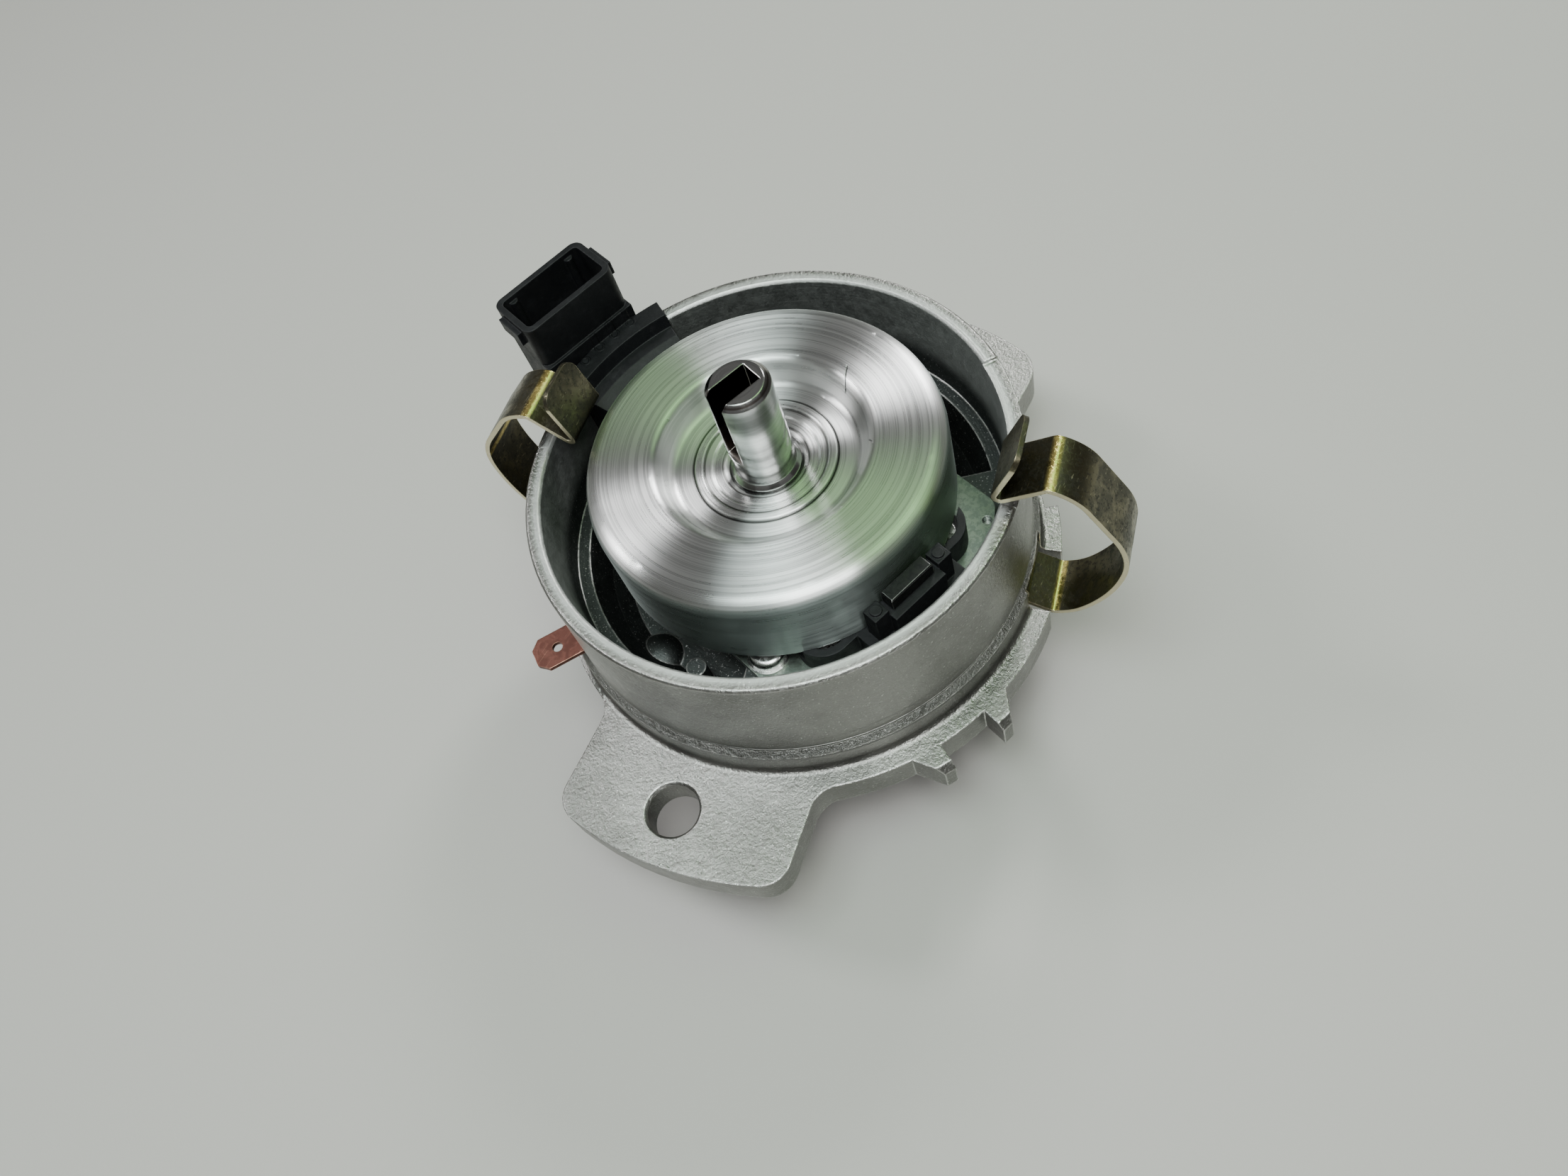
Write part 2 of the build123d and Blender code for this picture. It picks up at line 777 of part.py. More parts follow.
# Sensor plate with straight sides, round inside about the tower and outside along the wall
with BuildPart() as sensor_plate:
    with BuildSketch(level_plane(sensor_azimuth, land_height)) as plate_outline:
        Circle(ledge_inner_radius)
        Rectangle(2 * ledge_inner_radius, 2 * plate_half_width, mode=Mode.INTERSECT)
        Circle(plate_inner_radius, mode=Mode.SUBTRACT)
        with Locations((-ledge_inner_radius + plate_screw_place[0] - 6, 0)):
            Rectangle(2 * ledge_inner_radius, 4 * plate_half_width, mode=Mode.SUBTRACT)
        corners = plate_outline.vertices().filter_by(
            lambda v: abs(hypot(v.X, v.Y) - ledge_inner_radius) < 0.01
        )
        fillet(corners, plate_corner)
        with Locations(plate_screw_place):
            Circle(plate_screw_radius + seat_clearance, mode=Mode.SUBTRACT)
        with Locations(dowel_place):
            Circle(dowel_radius + press_clearance, mode=Mode.SUBTRACT)
        with Locations((rivet_depth, -rivet_spacing / 2), (rivet_depth, rivet_spacing / 2)):
            Circle(rivet_radius + press_clearance, mode=Mode.SUBTRACT)
    extrude(amount=plate_thickness)
sensor_plate.part.label = "sensor_plate"

with BuildPart() as plate_screw:
    with BuildSketch(level_plane(sensor_azimuth, plate_top + screw_washer_thickness)):
        with Locations(plate_screw_place):
            Circle(plate_screw_head_radius)
    extrude(amount=plate_screw_head_height)
    head_top = plate_screw.faces().sort_by(Axis.Z)[-1]
    fillet(head_top.edges(), plate_screw_head_height / 2)
    with BuildSketch(level_plane(sensor_azimuth, plate_top + screw_washer_thickness)):
        with Locations(plate_screw_place):
            Circle(plate_screw_radius)
    extrude(amount=seat_clearance - plate_screw_length)
    head_level = plate_top + screw_washer_thickness + plate_screw_head_height
    with BuildSketch(level_plane(sensor_azimuth, head_level)):
        with Locations(plate_screw_place):
            RegularPolygon(screw_recess_radius, 6)
    extrude(amount=-screw_recess_depth, mode=Mode.SUBTRACT)
plate_screw.part.label = "plate_screw"

with BuildPart() as screw_washer:
    with BuildSketch(level_plane(sensor_azimuth, plate_top)):
        with Locations(plate_screw_place):
            Circle(screw_washer_radius)
            Circle(plate_screw_radius + seat_clearance, mode=Mode.SUBTRACT)
    extrude(amount=screw_washer_thickness)
screw_washer.part.label = "screw_washer"

with BuildPart() as plate_dowel:
    with BuildSketch(level_plane(sensor_azimuth, plate_top - dowel_recess)):
        with Locations(dowel_place):
            Circle(dowel_radius)
    extrude(amount=-dowel_length)
plate_dowel.part.label = "plate_dowel"


def sensor_outline():
    """Plan of the sensor's body: round lugs at the rivets and a flank that follows the wall."""
    with BuildSketch() as outline:
        with Locations(((rivet_depth + sensor_outer_radius) / 2, 0)):
            Rectangle(sensor_outer_radius - rivet_depth, 2 * sensor_half_width)
        Circle(sensor_outer_radius, mode=Mode.INTERSECT)
        with Locations((rivet_depth, 0)):
            SlotCenterToCenter(rivet_spacing, 2 * sensor_lug_radius, rotation=90)
    return outline.sketch


# Hall sensor: a moulding that straddles the cup's skirt
with BuildPart() as hall_sensor:
    stand_outer = cup_radius - cup_sheet - skirt_clearance
    with BuildSketch(level_plane(sensor_azimuth, plate_top)):
        add(sensor_outline())
        with Locations((rivet_depth, -rivet_spacing / 2), (rivet_depth, rivet_spacing / 2)):
            Circle(rivet_radius + press_clearance, mode=Mode.SUBTRACT)
    extrude(amount=sensor_web)
    with BuildSketch(level_plane(sensor_azimuth, plate_top)):
        add(sensor_outline())
        Circle(magnet_face, mode=Mode.SUBTRACT)
        with Locations((rivet_depth, -rivet_spacing / 2), (rivet_depth, rivet_spacing / 2)):
            Circle(rivet_head_radius + seat_clearance, mode=Mode.SUBTRACT)
    extrude(amount=sensor_shoulder)
    with BuildSketch(level_plane(sensor_azimuth, plate_top + sensor_shoulder)):
        with Locations((magnet_face + magnet_seat_depth / 2, 0)):
            Rectangle(magnet_seat_depth, post_spacing - post_side)
        with Locations((magnet_face + magnet_depth / 2, 0)):
            Rectangle(
                magnet_depth + 2 * press_clearance,
                magnet_length + 2 * press_clearance,
                mode=Mode.SUBTRACT,
            )
    extrude(amount=magnet_seat_height)
    with BuildSketch(level_plane(sensor_azimuth, plate_top + sensor_shoulder)):
        with Locations(
            (magnet_face + magnet_depth / 2, -post_spacing / 2),
            (magnet_face + magnet_depth / 2, post_spacing / 2),
        ):
            Rectangle(post_side, post_side)
    extrude(amount=post_height)
    with BuildSketch(level_plane(sensor_azimuth, plate_top + sensor_shoulder + post_height)):
        with Locations(
            (magnet_face + magnet_depth / 2, -post_spacing / 2),
            (magnet_face + magnet_depth / 2, post_spacing / 2),
        ):
            Circle(stake_radius)
    extrude(amount=stake_height)
    with BuildSketch(level_plane(sensor_azimuth, plate_top + sensor_web)):
        Circle(stand_outer)
        Circle(stand_outer - stand_thickness, mode=Mode.SUBTRACT)
        with Locations((stand_outer, 0)):
            Rectangle(2 * stand_thickness, 2 * stand_half_width, mode=Mode.INTERSECT)
    extrude(amount=stand_height)
    chip_floor = plate_top + sensor_web + stand_height - chip_height
    with BuildSketch(level_plane(sensor_azimuth, chip_floor)):
        with Locations((stand_outer, 0)):
            Rectangle(2 * chip_thickness, chip_width, mode=Mode.ADD)
    extrude(amount=chip_height, mode=Mode.SUBTRACT)
hall_sensor.part.label = "hall_sensor"

with BuildPart() as hall_magnet:
    with BuildSketch(level_plane(sensor_azimuth, plate_top + sensor_shoulder)):
        with Locations((magnet_face + magnet_depth / 2, 0)):
            Rectangle(magnet_depth, magnet_length)
    extrude(amount=magnet_height)
    chamfer(hall_magnet.faces().sort_by(Axis.Z)[-1].edges(), rim_chamfer / 2)
hall_magnet.part.label = "hall_magnet"

with BuildPart() as hall_chip:
    chip_depth = chip_thickness - chip_setback - press_clearance
    chip_middle = stand_outer - chip_setback - chip_depth / 2
    with BuildSketch(level_plane(sensor_azimuth, chip_floor)):
        with Locations((chip_middle, 0)):
            Rectangle(chip_depth, chip_width - 2 * press_clearance)
    extrude(amount=chip_height)
hall_chip.part.label = "hall_chip"

with BuildPart() as sensor_rivets:
    with BuildSketch(level_plane(sensor_azimuth, land_height + press_clearance)):
        with Locations((rivet_depth, -rivet_spacing / 2), (rivet_depth, rivet_spacing / 2)):
            Circle(rivet_radius)
    extrude(amount=plate_thickness + sensor_web)
    with BuildSketch(level_plane(sensor_azimuth, plate_top + sensor_web)):
        with Locations((rivet_depth, -rivet_spacing / 2), (rivet_depth, rivet_spacing / 2)):
            Circle(rivet_head_radius)
    extrude(amount=rivet_head_height)
    rivet_tops = sensor_rivets.faces().group_by(Axis.Z)[-1]
    chamfer(rivet_tops.edges(), rivet_head_height / 3)
sensor_rivets.part.label = "sensor_rivets"

# Moulded lead strip on the shelf round the tower
with BuildPart() as lead_strip:
    ring(
        (
            (strip_inner_radius, land_height),
            (strip_outer_radius, land_height),
            (strip_outer_radius, land_height + strip_thickness),
            (strip_inner_radius, land_height + strip_thickness),
        ),
        (connector_azimuth, strip_end_azimuth),
    )
lead_strip.part.label = "lead_strip"

# Connector: socket that opens upwards, on a carrier that fills the bowl's cut-out
connector_plane = level_plane(connector_azimuth, 0)
connector_middle = connector_front + connector_depth / 2
with BuildPart() as connector_housing:
    carrier_span = (carrier_azimuths[0] + carrier_side_angle, carrier_azimuths[1] - carrier_side_angle)
    ring(
        (
            (carrier_inner_radius, carrier_floor_height + seat_clearance),
            (carrier_outer_radius, carrier_floor_height + seat_clearance),
            (carrier_outer_radius, rim_height + carrier_rise),
            (rim_inner_radius, rim_height + carrier_rise),
            (rim_inner_radius - 0.6, carrier_lip_top),
            (carrier_lip_radius, carrier_lip_top),
            (carrier_inner_radius, carrier_inner_top),
        ),
        carrier_span,
    )
    with BuildSketch(level_plane(connector_azimuth, rim_height - connector_drop)):
        with Locations((connector_middle, connector_offset)):
            RectangleRounded(connector_depth, connector_width, connector_corner)
    extrude(amount=connector_drop + connector_rise)
    foot_length = connector_depth / 2 + connector_foot_step
    with BuildSketch(level_plane(connector_azimuth, rim_height - connector_drop)):
        with Locations((connector_front - connector_foot_step + foot_length / 2, connector_offset)):
            Rectangle(foot_length, connector_width)
    extrude(amount=connector_drop + connector_foot_rise)
    with BuildSketch(level_plane(connector_azimuth, connector_mouth)):
        with Locations((connector_middle, connector_offset)):
            RectangleRounded(
                connector_depth - 2 * socket_wall, connector_width - 2 * socket_wall, socket_corner
            )
    extrude(amount=-socket_depth, mode=Mode.SUBTRACT)
    back_wall = connector_front + connector_depth - socket_wall
    with BuildSketch(level_plane(connector_azimuth, socket_floor)):
        with Locations(
            (back_wall, connector_offset - key_rib_spacing / 2),
            (back_wall, connector_offset + key_rib_spacing / 2),
        ):
            Circle(key_rib_radius)
    extrude(amount=socket_depth - key_rib_inset)
    with BuildSketch(level_plane(connector_azimuth, connector_mouth - latch_drop - latch_height)):
        with Locations((connector_middle, connector_offset)):
            Rectangle(latch_width, connector_width + 2 * latch_proud)
            Rectangle(latch_width, connector_width - socket_wall, mode=Mode.SUBTRACT)
    extrude(amount=latch_height)
    with BuildSketch(level_plane(connector_azimuth, carrier_floor_height + seat_clearance)):
        with Locations(((strip_outer_radius + carrier_inner_radius) / 2 + 1, 0)):
            Rectangle(carrier_inner_radius - strip_outer_radius + 2, carrier_tail_width)
    extrude(amount=-(carrier_floor_height + seat_clearance - land_height))
    slots = [
        (connector_middle, connector_offset + (index - (blade_count - 1) / 2) * blade_pitch)
        for index in range(blade_count)
    ]
    with BuildSketch(level_plane(connector_azimuth, socket_floor)):
        with Locations(*slots):
            Rectangle(blade_thickness + 2 * press_clearance, blade_width + 2 * press_clearance)
    extrude(amount=-(socket_wall + 1), mode=Mode.SUBTRACT)
connector_housing.part.label = "connector_housing"

with BuildPart() as connector_blades:
    with BuildSketch(level_plane(connector_azimuth, socket_floor - socket_wall)):
        with Locations(*slots):
            Rectangle(blade_thickness, blade_width)
    extrude(amount=blade_height + socket_wall)
    blade_tops = connector_blades.faces().group_by(Axis.Z)[-1]
    chamfer(blade_tops.edges(), blade_thickness / 4)
connector_blades.part.label = "connector_blades"


# Spring clips: one strip bent from the eye through the loop and the hook to the finger tab
def clip_profile():
    """Side view of the strip about its pivot: eye, run, loop, shoulder, hook and tab."""
    start_angle = radians(clip_run_angle - 90)
    start = (clip_eye_radius * cos(start_angle), clip_eye_radius * sin(start_angle))
    heading = clip_run_angle
    back = (-cos(radians(heading)), -sin(radians(heading)))
    loop_arcs = [(radius * clip_scale, turn) for radius, turn in clip_loop_arcs]
    bends = [(clip_crease_radius, clip_foot_turn), *loop_arcs]
    with BuildSketch() as strip:
        with BuildLine() as path:
            JernArc(start, back, clip_eye_radius, -clip_eye_turn)
            run = PolarLine(start, clip_run, heading)
            tip = run @ 1
            for radius, turn in bends:
                arc = JernArc(tip, (cos(radians(heading)), sin(radians(heading))), radius, turn)
                heading += turn
                tip = arc @ 1
            tip = PolarLine(tip, clip_loop_run * clip_scale, heading) @ 1
            shoulder_bends = (clip_shoulder, (clip_crease_radius, clip_shoulder_turn))
            for radius, turn in shoulder_bends:
                arc = JernArc(tip, (cos(radians(heading)), sin(radians(heading))), radius, turn)
                heading += turn
                tip = arc @ 1
            tip = PolarLine(tip, clip_hook_run, heading) @ 1
            direction = (cos(radians(heading)), sin(radians(heading)))
            tip = JernArc(tip, direction, clip_hook_radius, clip_hook_turn) @ 1
            heading += clip_hook_turn
            PolarLine(tip, clip_tab_run, heading)
        trace(line_width=clip_sheet)
    return strip.sketch


def clip_plane(side):
    """Upright plane of a clip with its origin on the pivot, leaned inwards as the clip stands."""
    out = polar(1, clip_azimuths[side])
    lean = radians(clip_leans[side])
    return Plane(
        origin=(*polar(clip_pivot_radius, clip_azimuths[side]), clip_pivot_height),
        x_dir=(out[0] * cos(lean), out[1] * cos(lean), sin(lean)),
        z_dir=(out[1], -out[0], 0),
    )


def make_clip(side):
    """Spring clip of one side."""
    with BuildPart() as clip:
        with BuildSketch(clip_plane(side)):
            add(clip_profile())
        extrude(amount=clip_width / 2, both=True)
        end_edges = [edge for edge in clip.edges() if abs(edge.length - clip_sheet) < 0.01]
        fillet(sorted(end_edges, key=lambda edge: edge.center().Z)[-2:], clip_tab_corner)
    clip.part.label = f"clip_{side}"
    return clip.part


def make_clip_pin(side):
    """Pivot pin of one clip, pressed into the casting."""
    with BuildPart() as pin:
        with BuildSketch(clip_plane(side)):
            Circle(clip_pin_radius)
        extrude(amount=clip_pin_length / 2, both=True)
    pin.part.label = f"clip_pin_{side}"
    return pin.part


clips = [make_clip(side) for side in clip_azimuths]
clip_pins = [make_clip_pin(side) for side in clip_azimuths]

# Blade terminal pressed into the foot of the wall
with BuildPart() as earth_terminal:
    terminal_root = wall_foot_radius - terminal_seat_depth + press_clearance
    blade_length = terminal_tip_radius - terminal_root
    with BuildSketch(
        level_plane(terminal_azimuth, terminal_height - terminal_thickness / 2)
    ) as blade_plan:
        with Locations((terminal_root + blade_length / 2, 0)):
            Rectangle(blade_length, terminal_width)
        tips = blade_plan.vertices().group_by(Axis.X)[-1]
        chamfer(tips, terminal_corner)
        with Locations((terminal_tip_radius - terminal_hole_from_tip, 0)):
            Circle(terminal_hole_radius, mode=Mode.SUBTRACT)
    extrude(amount=terminal_thickness)
earth_terminal.part.label = "earth_terminal"

sub_parts = [
    housing.part,
    spigot_o_ring.part,
    lower_bush.part,
    upper_bush.part,
    shaft_seal.part,
    drive_shaft.part,
    drive_coupling.part,
    coupling_pin.part,
    coupling_ring.part,
    coupling_washer.part,
    hub_washer.part,
    cup_hub.part,
    trigger_cup.part,
    sensor_plate.part,
    plate_screw.part,
    screw_washer.part,
    plate_dowel.part,
    hall_sensor.part,
    hall_magnet.part,
    hall_chip.part,
    sensor_rivets.part,
    lead_strip.part,
    connector_housing.part,
    connector_blades.part,
    *clips,
    *clip_pins,
    earth_terminal.part,
]
for sub_part in sub_parts:
    export_step(sub_part, f"parts/{sub_part.label}.step")
    print(f"{sub_part.label:20s} {len(sub_part.solids())} solids {sub_part.volume:10.1f} mm3")
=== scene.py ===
"""Looks of the ignition distributor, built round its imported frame.

Each sub-assembly is a class that holds its sizes and dresses its nodes, each finish is a frozen
dataclass that makes one procedural material, and effects that several finishes share are node
groups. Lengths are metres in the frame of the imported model: +Z runs up the drive shaft.
"""

import logging
from dataclasses import dataclass
from enum import Enum
from math import cos, radians, sin
from typing import Dict, List, Sequence, Tuple, Union

import bmesh
import bpy
from mathutils import Matrix, Vector


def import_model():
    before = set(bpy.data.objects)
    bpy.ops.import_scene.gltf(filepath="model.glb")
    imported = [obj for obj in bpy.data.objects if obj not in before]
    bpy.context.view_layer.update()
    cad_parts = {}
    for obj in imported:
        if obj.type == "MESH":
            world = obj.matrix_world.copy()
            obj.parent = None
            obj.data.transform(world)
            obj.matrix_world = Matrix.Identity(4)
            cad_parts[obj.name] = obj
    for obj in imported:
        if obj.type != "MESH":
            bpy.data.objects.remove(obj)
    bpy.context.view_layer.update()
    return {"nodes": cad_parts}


log = logging.getLogger("distributor")

Colour = Tuple[float, float, float]
Point = Tuple[float, float, float]
Range = Tuple[float, float]
Material = bpy.types.Material
Node = bpy.types.Node
Socket = bpy.types.NodeSocket
Sockets = Union[bpy.types.NodeInputs, bpy.types.NodeOutputs]
Tree = bpy.types.NodeTree
Link = Union[Socket, float, Tuple[float, ...]]
MM = 0.001


class Sheet:
    """Short-hand for placing and joining shader nodes in one tree."""

    def __init__(self, tree: Tree) -> None:
        """Keeps the tree.

        Args:
            tree: Node tree of a material, a world or a group.
        """
        self.tree = tree

    def add(self, kind: str, **settings: object) -> Node:
        """Places a node.

        Args:
            kind: Type name of the node.
            settings: Properties of the node to set.

        Returns:
            The new node.
        """
        node = self.tree.nodes.new(kind)
        for name, value in settings.items():
            setattr(node, name, value)
        return node

    def feed(self, socket: Socket, value: Link) -> None:
        """Gives an input a link or a constant.

        Args:
            socket: Input to feed.
            value: Output socket, number, vector or colour.
        """
        if isinstance(value, Socket):
            self.tree.links.new(value, socket)
        elif isinstance(value, tuple) and len(value) == 3 and socket.type == "RGBA":
            socket.default_value = (*value, 1.0)
        else:
            socket.default_value = value

    def math(self, operation: str, a: Link, b: Link = 0.0, clamp: bool = False) -> Socket:
        """Places a Math node.

        Args:
            operation: Name of the operation.
            a: First operand.
            b: Second operand.
            clamp: Whether the result stays from 0 to 1.

        Returns:
            The result's socket.
        """
        node = self.add("ShaderNodeMath", operation=operation, use_clamp=clamp)
        self.feed(node.inputs[0], a)
        self.feed(node.inputs[1], b)
        return node.outputs[0]

    def times(self, a: Link, b: Link, clamp: bool = False) -> Socket:
        """Multiplies two values."""
        return self.math("MULTIPLY", a, b, clamp)

    def plus(self, a: Link, b: Link, clamp: bool = False) -> Socket:
        """Adds two values."""
        return self.math("ADD", a, b, clamp)

    def minus(self, a: Link, b: Link) -> Socket:
        """Takes the second value from the first."""
        return self.math("SUBTRACT", a, b)

    def reach(self, x: Link, y: Link) -> Socket:
        """Measures how far a point lies from the origin of its plane."""
        return self.math("SQRT", self.plus(self.times(x, x), self.times(y, y)))

    def ramp(self, value: Link, low: Link, high: Link, to: Range = (0.0, 1.0)) -> Socket:
        """Maps a value smoothly from one range to another.

        Args:
            value: Value to map.
            low: Start of the range that is read.
            high: End of the range that is read.
            to: Start and end of the range that comes out.

        Returns:
            The result's socket.
        """
        node = self.add("ShaderNodeMapRange", interpolation_type="SMOOTHSTEP")
        self.feed(node.inputs[0], value)
        self.feed(node.inputs[1], low)
        self.feed(node.inputs[2], high)
        node.inputs[3].default_value = to[0]
        node.inputs[4].default_value = to[1]
        return node.outputs[0]

    def window(self, value: Link, low: float, high: float, soft: float) -> Socket:
        """Masks the values between two limits.

        Args:
            value: Value to test.
            low: Lower limit.
            high: Upper limit.
            soft: How far outside a limit the mask fades to 0.

        Returns:
            The mask's socket.
        """
        return self.times(self.ramp(value, low - soft, low), self.ramp(value, high + soft, high))

    def mix(self, share: Link, a: Link, b: Link) -> Socket:
        """Mixes two colours.

        Args:
            share: Share of the second colour.
            a: First colour.
            b: Second colour.

        Returns:
            The result's socket.
        """
        node = self.add("ShaderNodeMix", data_type="RGBA")
        self.feed(node.inputs[0], share)
        self.feed(node.inputs[6], a)
        self.feed(node.inputs[7], b)
        return node.outputs[2]

    def noise(
        self, vector: Link, scale: Link, detail: float, roughness: float, distortion: float = 0.0
    ) -> Socket:
        """Places a Noise Texture.

        Args:
            vector: Coordinates.
            scale: Cells per metre of coordinate.
            detail: Octaves.
            roughness: Weight of the finer octaves.
            distortion: How far the pattern is bent by itself.

        Returns:
            The noise value's socket.
        """
        node = self.add("ShaderNodeTexNoise")
        self.feed(node.inputs["Vector"], vector)
        self.feed(node.inputs["Scale"], scale)
        node.inputs["Detail"].default_value = detail
        node.inputs["Roughness"].default_value = roughness
        node.inputs["Distortion"].default_value = distortion
        return node.outputs[0]

    def parts(self, vector: Link) -> Tuple[Socket, ...]:
        """Splits a vector.

        Args:
            vector: Vector to split.

        Returns:
            The sockets of its X, Y and Z.
        """
        node = self.add("ShaderNodeSeparateXYZ")
        self.feed(node.inputs[0], vector)
        return tuple(node.outputs)

    def join(self, x: Link, y: Link, z: Link) -> Socket:
        """Makes a vector.

        Args:
            x: Its X.
            y: Its Y.
            z: Its Z.

        Returns:
            The vector's socket.
        """
        node = self.add("ShaderNodeCombineXYZ")
        for socket, value in zip(node.inputs, (x, y, z)):
            self.feed(socket, value)
        return node.outputs[0]

    def place(self) -> Socket:
        """Gives the coordinates fixed to the piece, in metres."""
        return self.add("ShaderNodeTexCoord").outputs["Object"]

    def bump(self, height: Link, distance: float, normal: Link) -> Socket:
        """Places a Bump node.

        Args:
            height: Height from 0 to 1.
            distance: Height of 1 in metres.
            normal: Normal that the bump starts from.

        Returns:
            The normal's socket.
        """
        node = self.add("ShaderNodeBump")
        node.inputs["Strength"].default_value = 1.0
        node.inputs["Distance"].default_value = distance
        self.feed(node.inputs["Height"], height)
        self.feed(node.inputs["Normal"], normal)
        return node.outputs[0]


class Effect(Enum):
    """Shader effects that more than one finish uses."""

    SOFT_EDGES = "soft_edges"
    BLASTED_GRAIN = "blasted_grain"
    LATHE_MARKS = "lathe_marks"
    MOTTLE = "mottle"
    HANDLING = "handling"


class EffectShelf:
    """Builds each shared effect once as a node group and places it in materials."""

    def __init__(self) -> None:
        """Starts with no group built."""
        self.groups: Dict[Effect, Tree] = {}

    def place(self, sheet: Sheet, effect: Effect, **values: Link) -> Sockets:
        """Places an effect in a material.

        Args:
            sheet: Sheet of the material.
            effect: Effect to place.
            values: Values for its inputs, by name.

        Returns:
            Its outputs, by name.
        """
        if effect not in self.groups:
            self.groups[effect] = getattr(self, "build_" + effect.value)()
        node = sheet.add("ShaderNodeGroup", node_tree=self.groups[effect])
        for name, value in values.items():
            sheet.feed(node.inputs[name.capitalize()], value)
        return node.outputs

    def start(
        self,
        effect: Effect,
        takes: Sequence[Tuple[str, str, float]],
        gives: Sequence[Tuple[str, str]],
    ) -> Tuple[Sheet, Sockets, Sockets]:
        """Opens a new group with its sockets.

        Args:
            effect: Effect that the group makes.
            takes: Name, type and default of each input.
            gives: Name and type of each output.

        Returns:
            The group's sheet, what it takes and what it gives.
        """
        tree = bpy.data.node_groups.new(effect.value, "ShaderNodeTree")
        new = tree.interface.new_socket
        for name, kind, default in takes:
            socket = new(name=name, in_out="INPUT", socket_type="NodeSocket" + kind)
            if kind == "Float":
                socket.default_value = default
        for name, kind in gives:
            new(name=name, in_out="OUTPUT", socket_type="NodeSocket" + kind)
        sheet = Sheet(tree)
        taken, given = sheet.add("NodeGroupInput"), sheet.add("NodeGroupOutput")
        return sheet, taken.outputs, given.inputs

    def build_soft_edges(self) -> Tree:
        """Small round on every edge, with a mask of where the edges are.

        Returns:
            The group's node tree.
        """
        sheet, taken, given = self.start(
            Effect.SOFT_EDGES,
            [("Radius", "Float", 0.3 * MM), ("Gain", "Float", 6.0)],
            [("Normal", "Vector"), ("Edge", "Float")],
        )
        rounded = sheet.add("ShaderNodeBevel", samples=6)
        sheet.feed(rounded.inputs["Radius"], taken["Radius"])
        along = sheet.add("ShaderNodeVectorMath", operation="DOT_PRODUCT")
        sheet.feed(along.inputs[0], rounded.outputs[0])
        sheet.feed(along.inputs[1], sheet.add("ShaderNodeNewGeometry").outputs["Normal"])
        turned = sheet.minus(1.0, along.outputs["Value"])
        edge = sheet.times(turned, taken["Gain"], clamp=True)
        sheet.feed(given["Normal"], rounded.outputs[0])
        sheet.feed(given["Edge"], edge)
        return sheet.tree

    def build_blasted_grain(self) -> Tree:
        """Skin of a blasted die casting: fine pits, a softer swell and bright specks.

        Returns:
            The group's node tree.
        """
        sheet, taken, given = self.start(
            Effect.BLASTED_GRAIN,
            [("Vector", "Vector", 0.0), ("Cells", "Float", 1800.0)],
            [("Height", "Float"), ("Speck", "Float"), ("Swell", "Float")],
        )
        place, cells = taken["Vector"], taken["Cells"]
        fine = sheet.noise(place, cells, 4.0, 0.62)
        coarse = sheet.noise(place, sheet.times(cells, 0.28), 3.0, 0.5)
        swell = sheet.noise(place, 55.0, 3.0, 0.55)
        specks = sheet.noise(place, sheet.times(cells, 1.6), 2.0, 0.7)
        height = sheet.plus(sheet.times(fine, 0.7), sheet.times(coarse, 0.6))
        sheet.feed(given["Height"], height)
        sheet.feed(given["Speck"], sheet.ramp(specks, 0.62, 0.76))
        sheet.feed(given["Swell"], swell)
        return sheet.tree

    def build_lathe_marks(self) -> Tree:
        """Rings left by turning: fine arcs that follow the axis, on faces and on walls alike.

        Returns:
            The group's node tree.
        """
        sheet, taken, given = self.start(
            Effect.LATHE_MARKS,
            [("Vector", "Vector", 0.0), ("Cells", "Float", 3000.0), ("Length", "Float", 1.2)],
            [("Height", "Float"), ("Band", "Float"), ("Radius", "Float")],
        )
        x, y, z = sheet.parts(taken["Vector"])
        cells, length = taken["Cells"], taken["Length"]
        radius = sheet.reach(x, y)
        along = sheet.minus(radius, z)
        arm = sheet.math("MAXIMUM", radius, 0.1 * MM)
        east, north = sheet.math("DIVIDE", x, arm), sheet.math("DIVIDE", y, arm)
        fine, wide = (
            sheet.join(sheet.times(along, rings), sheet.times(east, turn), sheet.times(north, turn))
            for rings, turn in ((cells, length), (sheet.times(cells, 0.16), 0.6))
        )
        sheet.feed(given["Height"], sheet.noise(fine, 1.0, 3.0, 0.6))
        sheet.feed(given["Band"], sheet.noise(wide, 1.0, 4.0, 0.62))
        sheet.feed(given["Radius"], radius)
        return sheet.tree

    def build_mottle(self) -> Tree:
        """Cloudy patches with a set share and softness.

        Returns:
            The group's node tree.
        """
        sheet, taken, given = self.start(
            Effect.MOTTLE,
            [
                ("Vector", "Vector", 0.0),
                ("Cells", "Float", 200.0),
                ("Low", "Float", 0.42),
                ("High", "Float", 0.62),
            ],
            [("Mask", "Float")],
        )
        clouds = sheet.noise(taken["Vector"], taken["Cells"], 6.0, 0.62, 0.4)
        mask = sheet.ramp(clouds, taken["Low"], taken["High"])
        sheet.feed(given["Mask"], mask)
        return sheet.tree

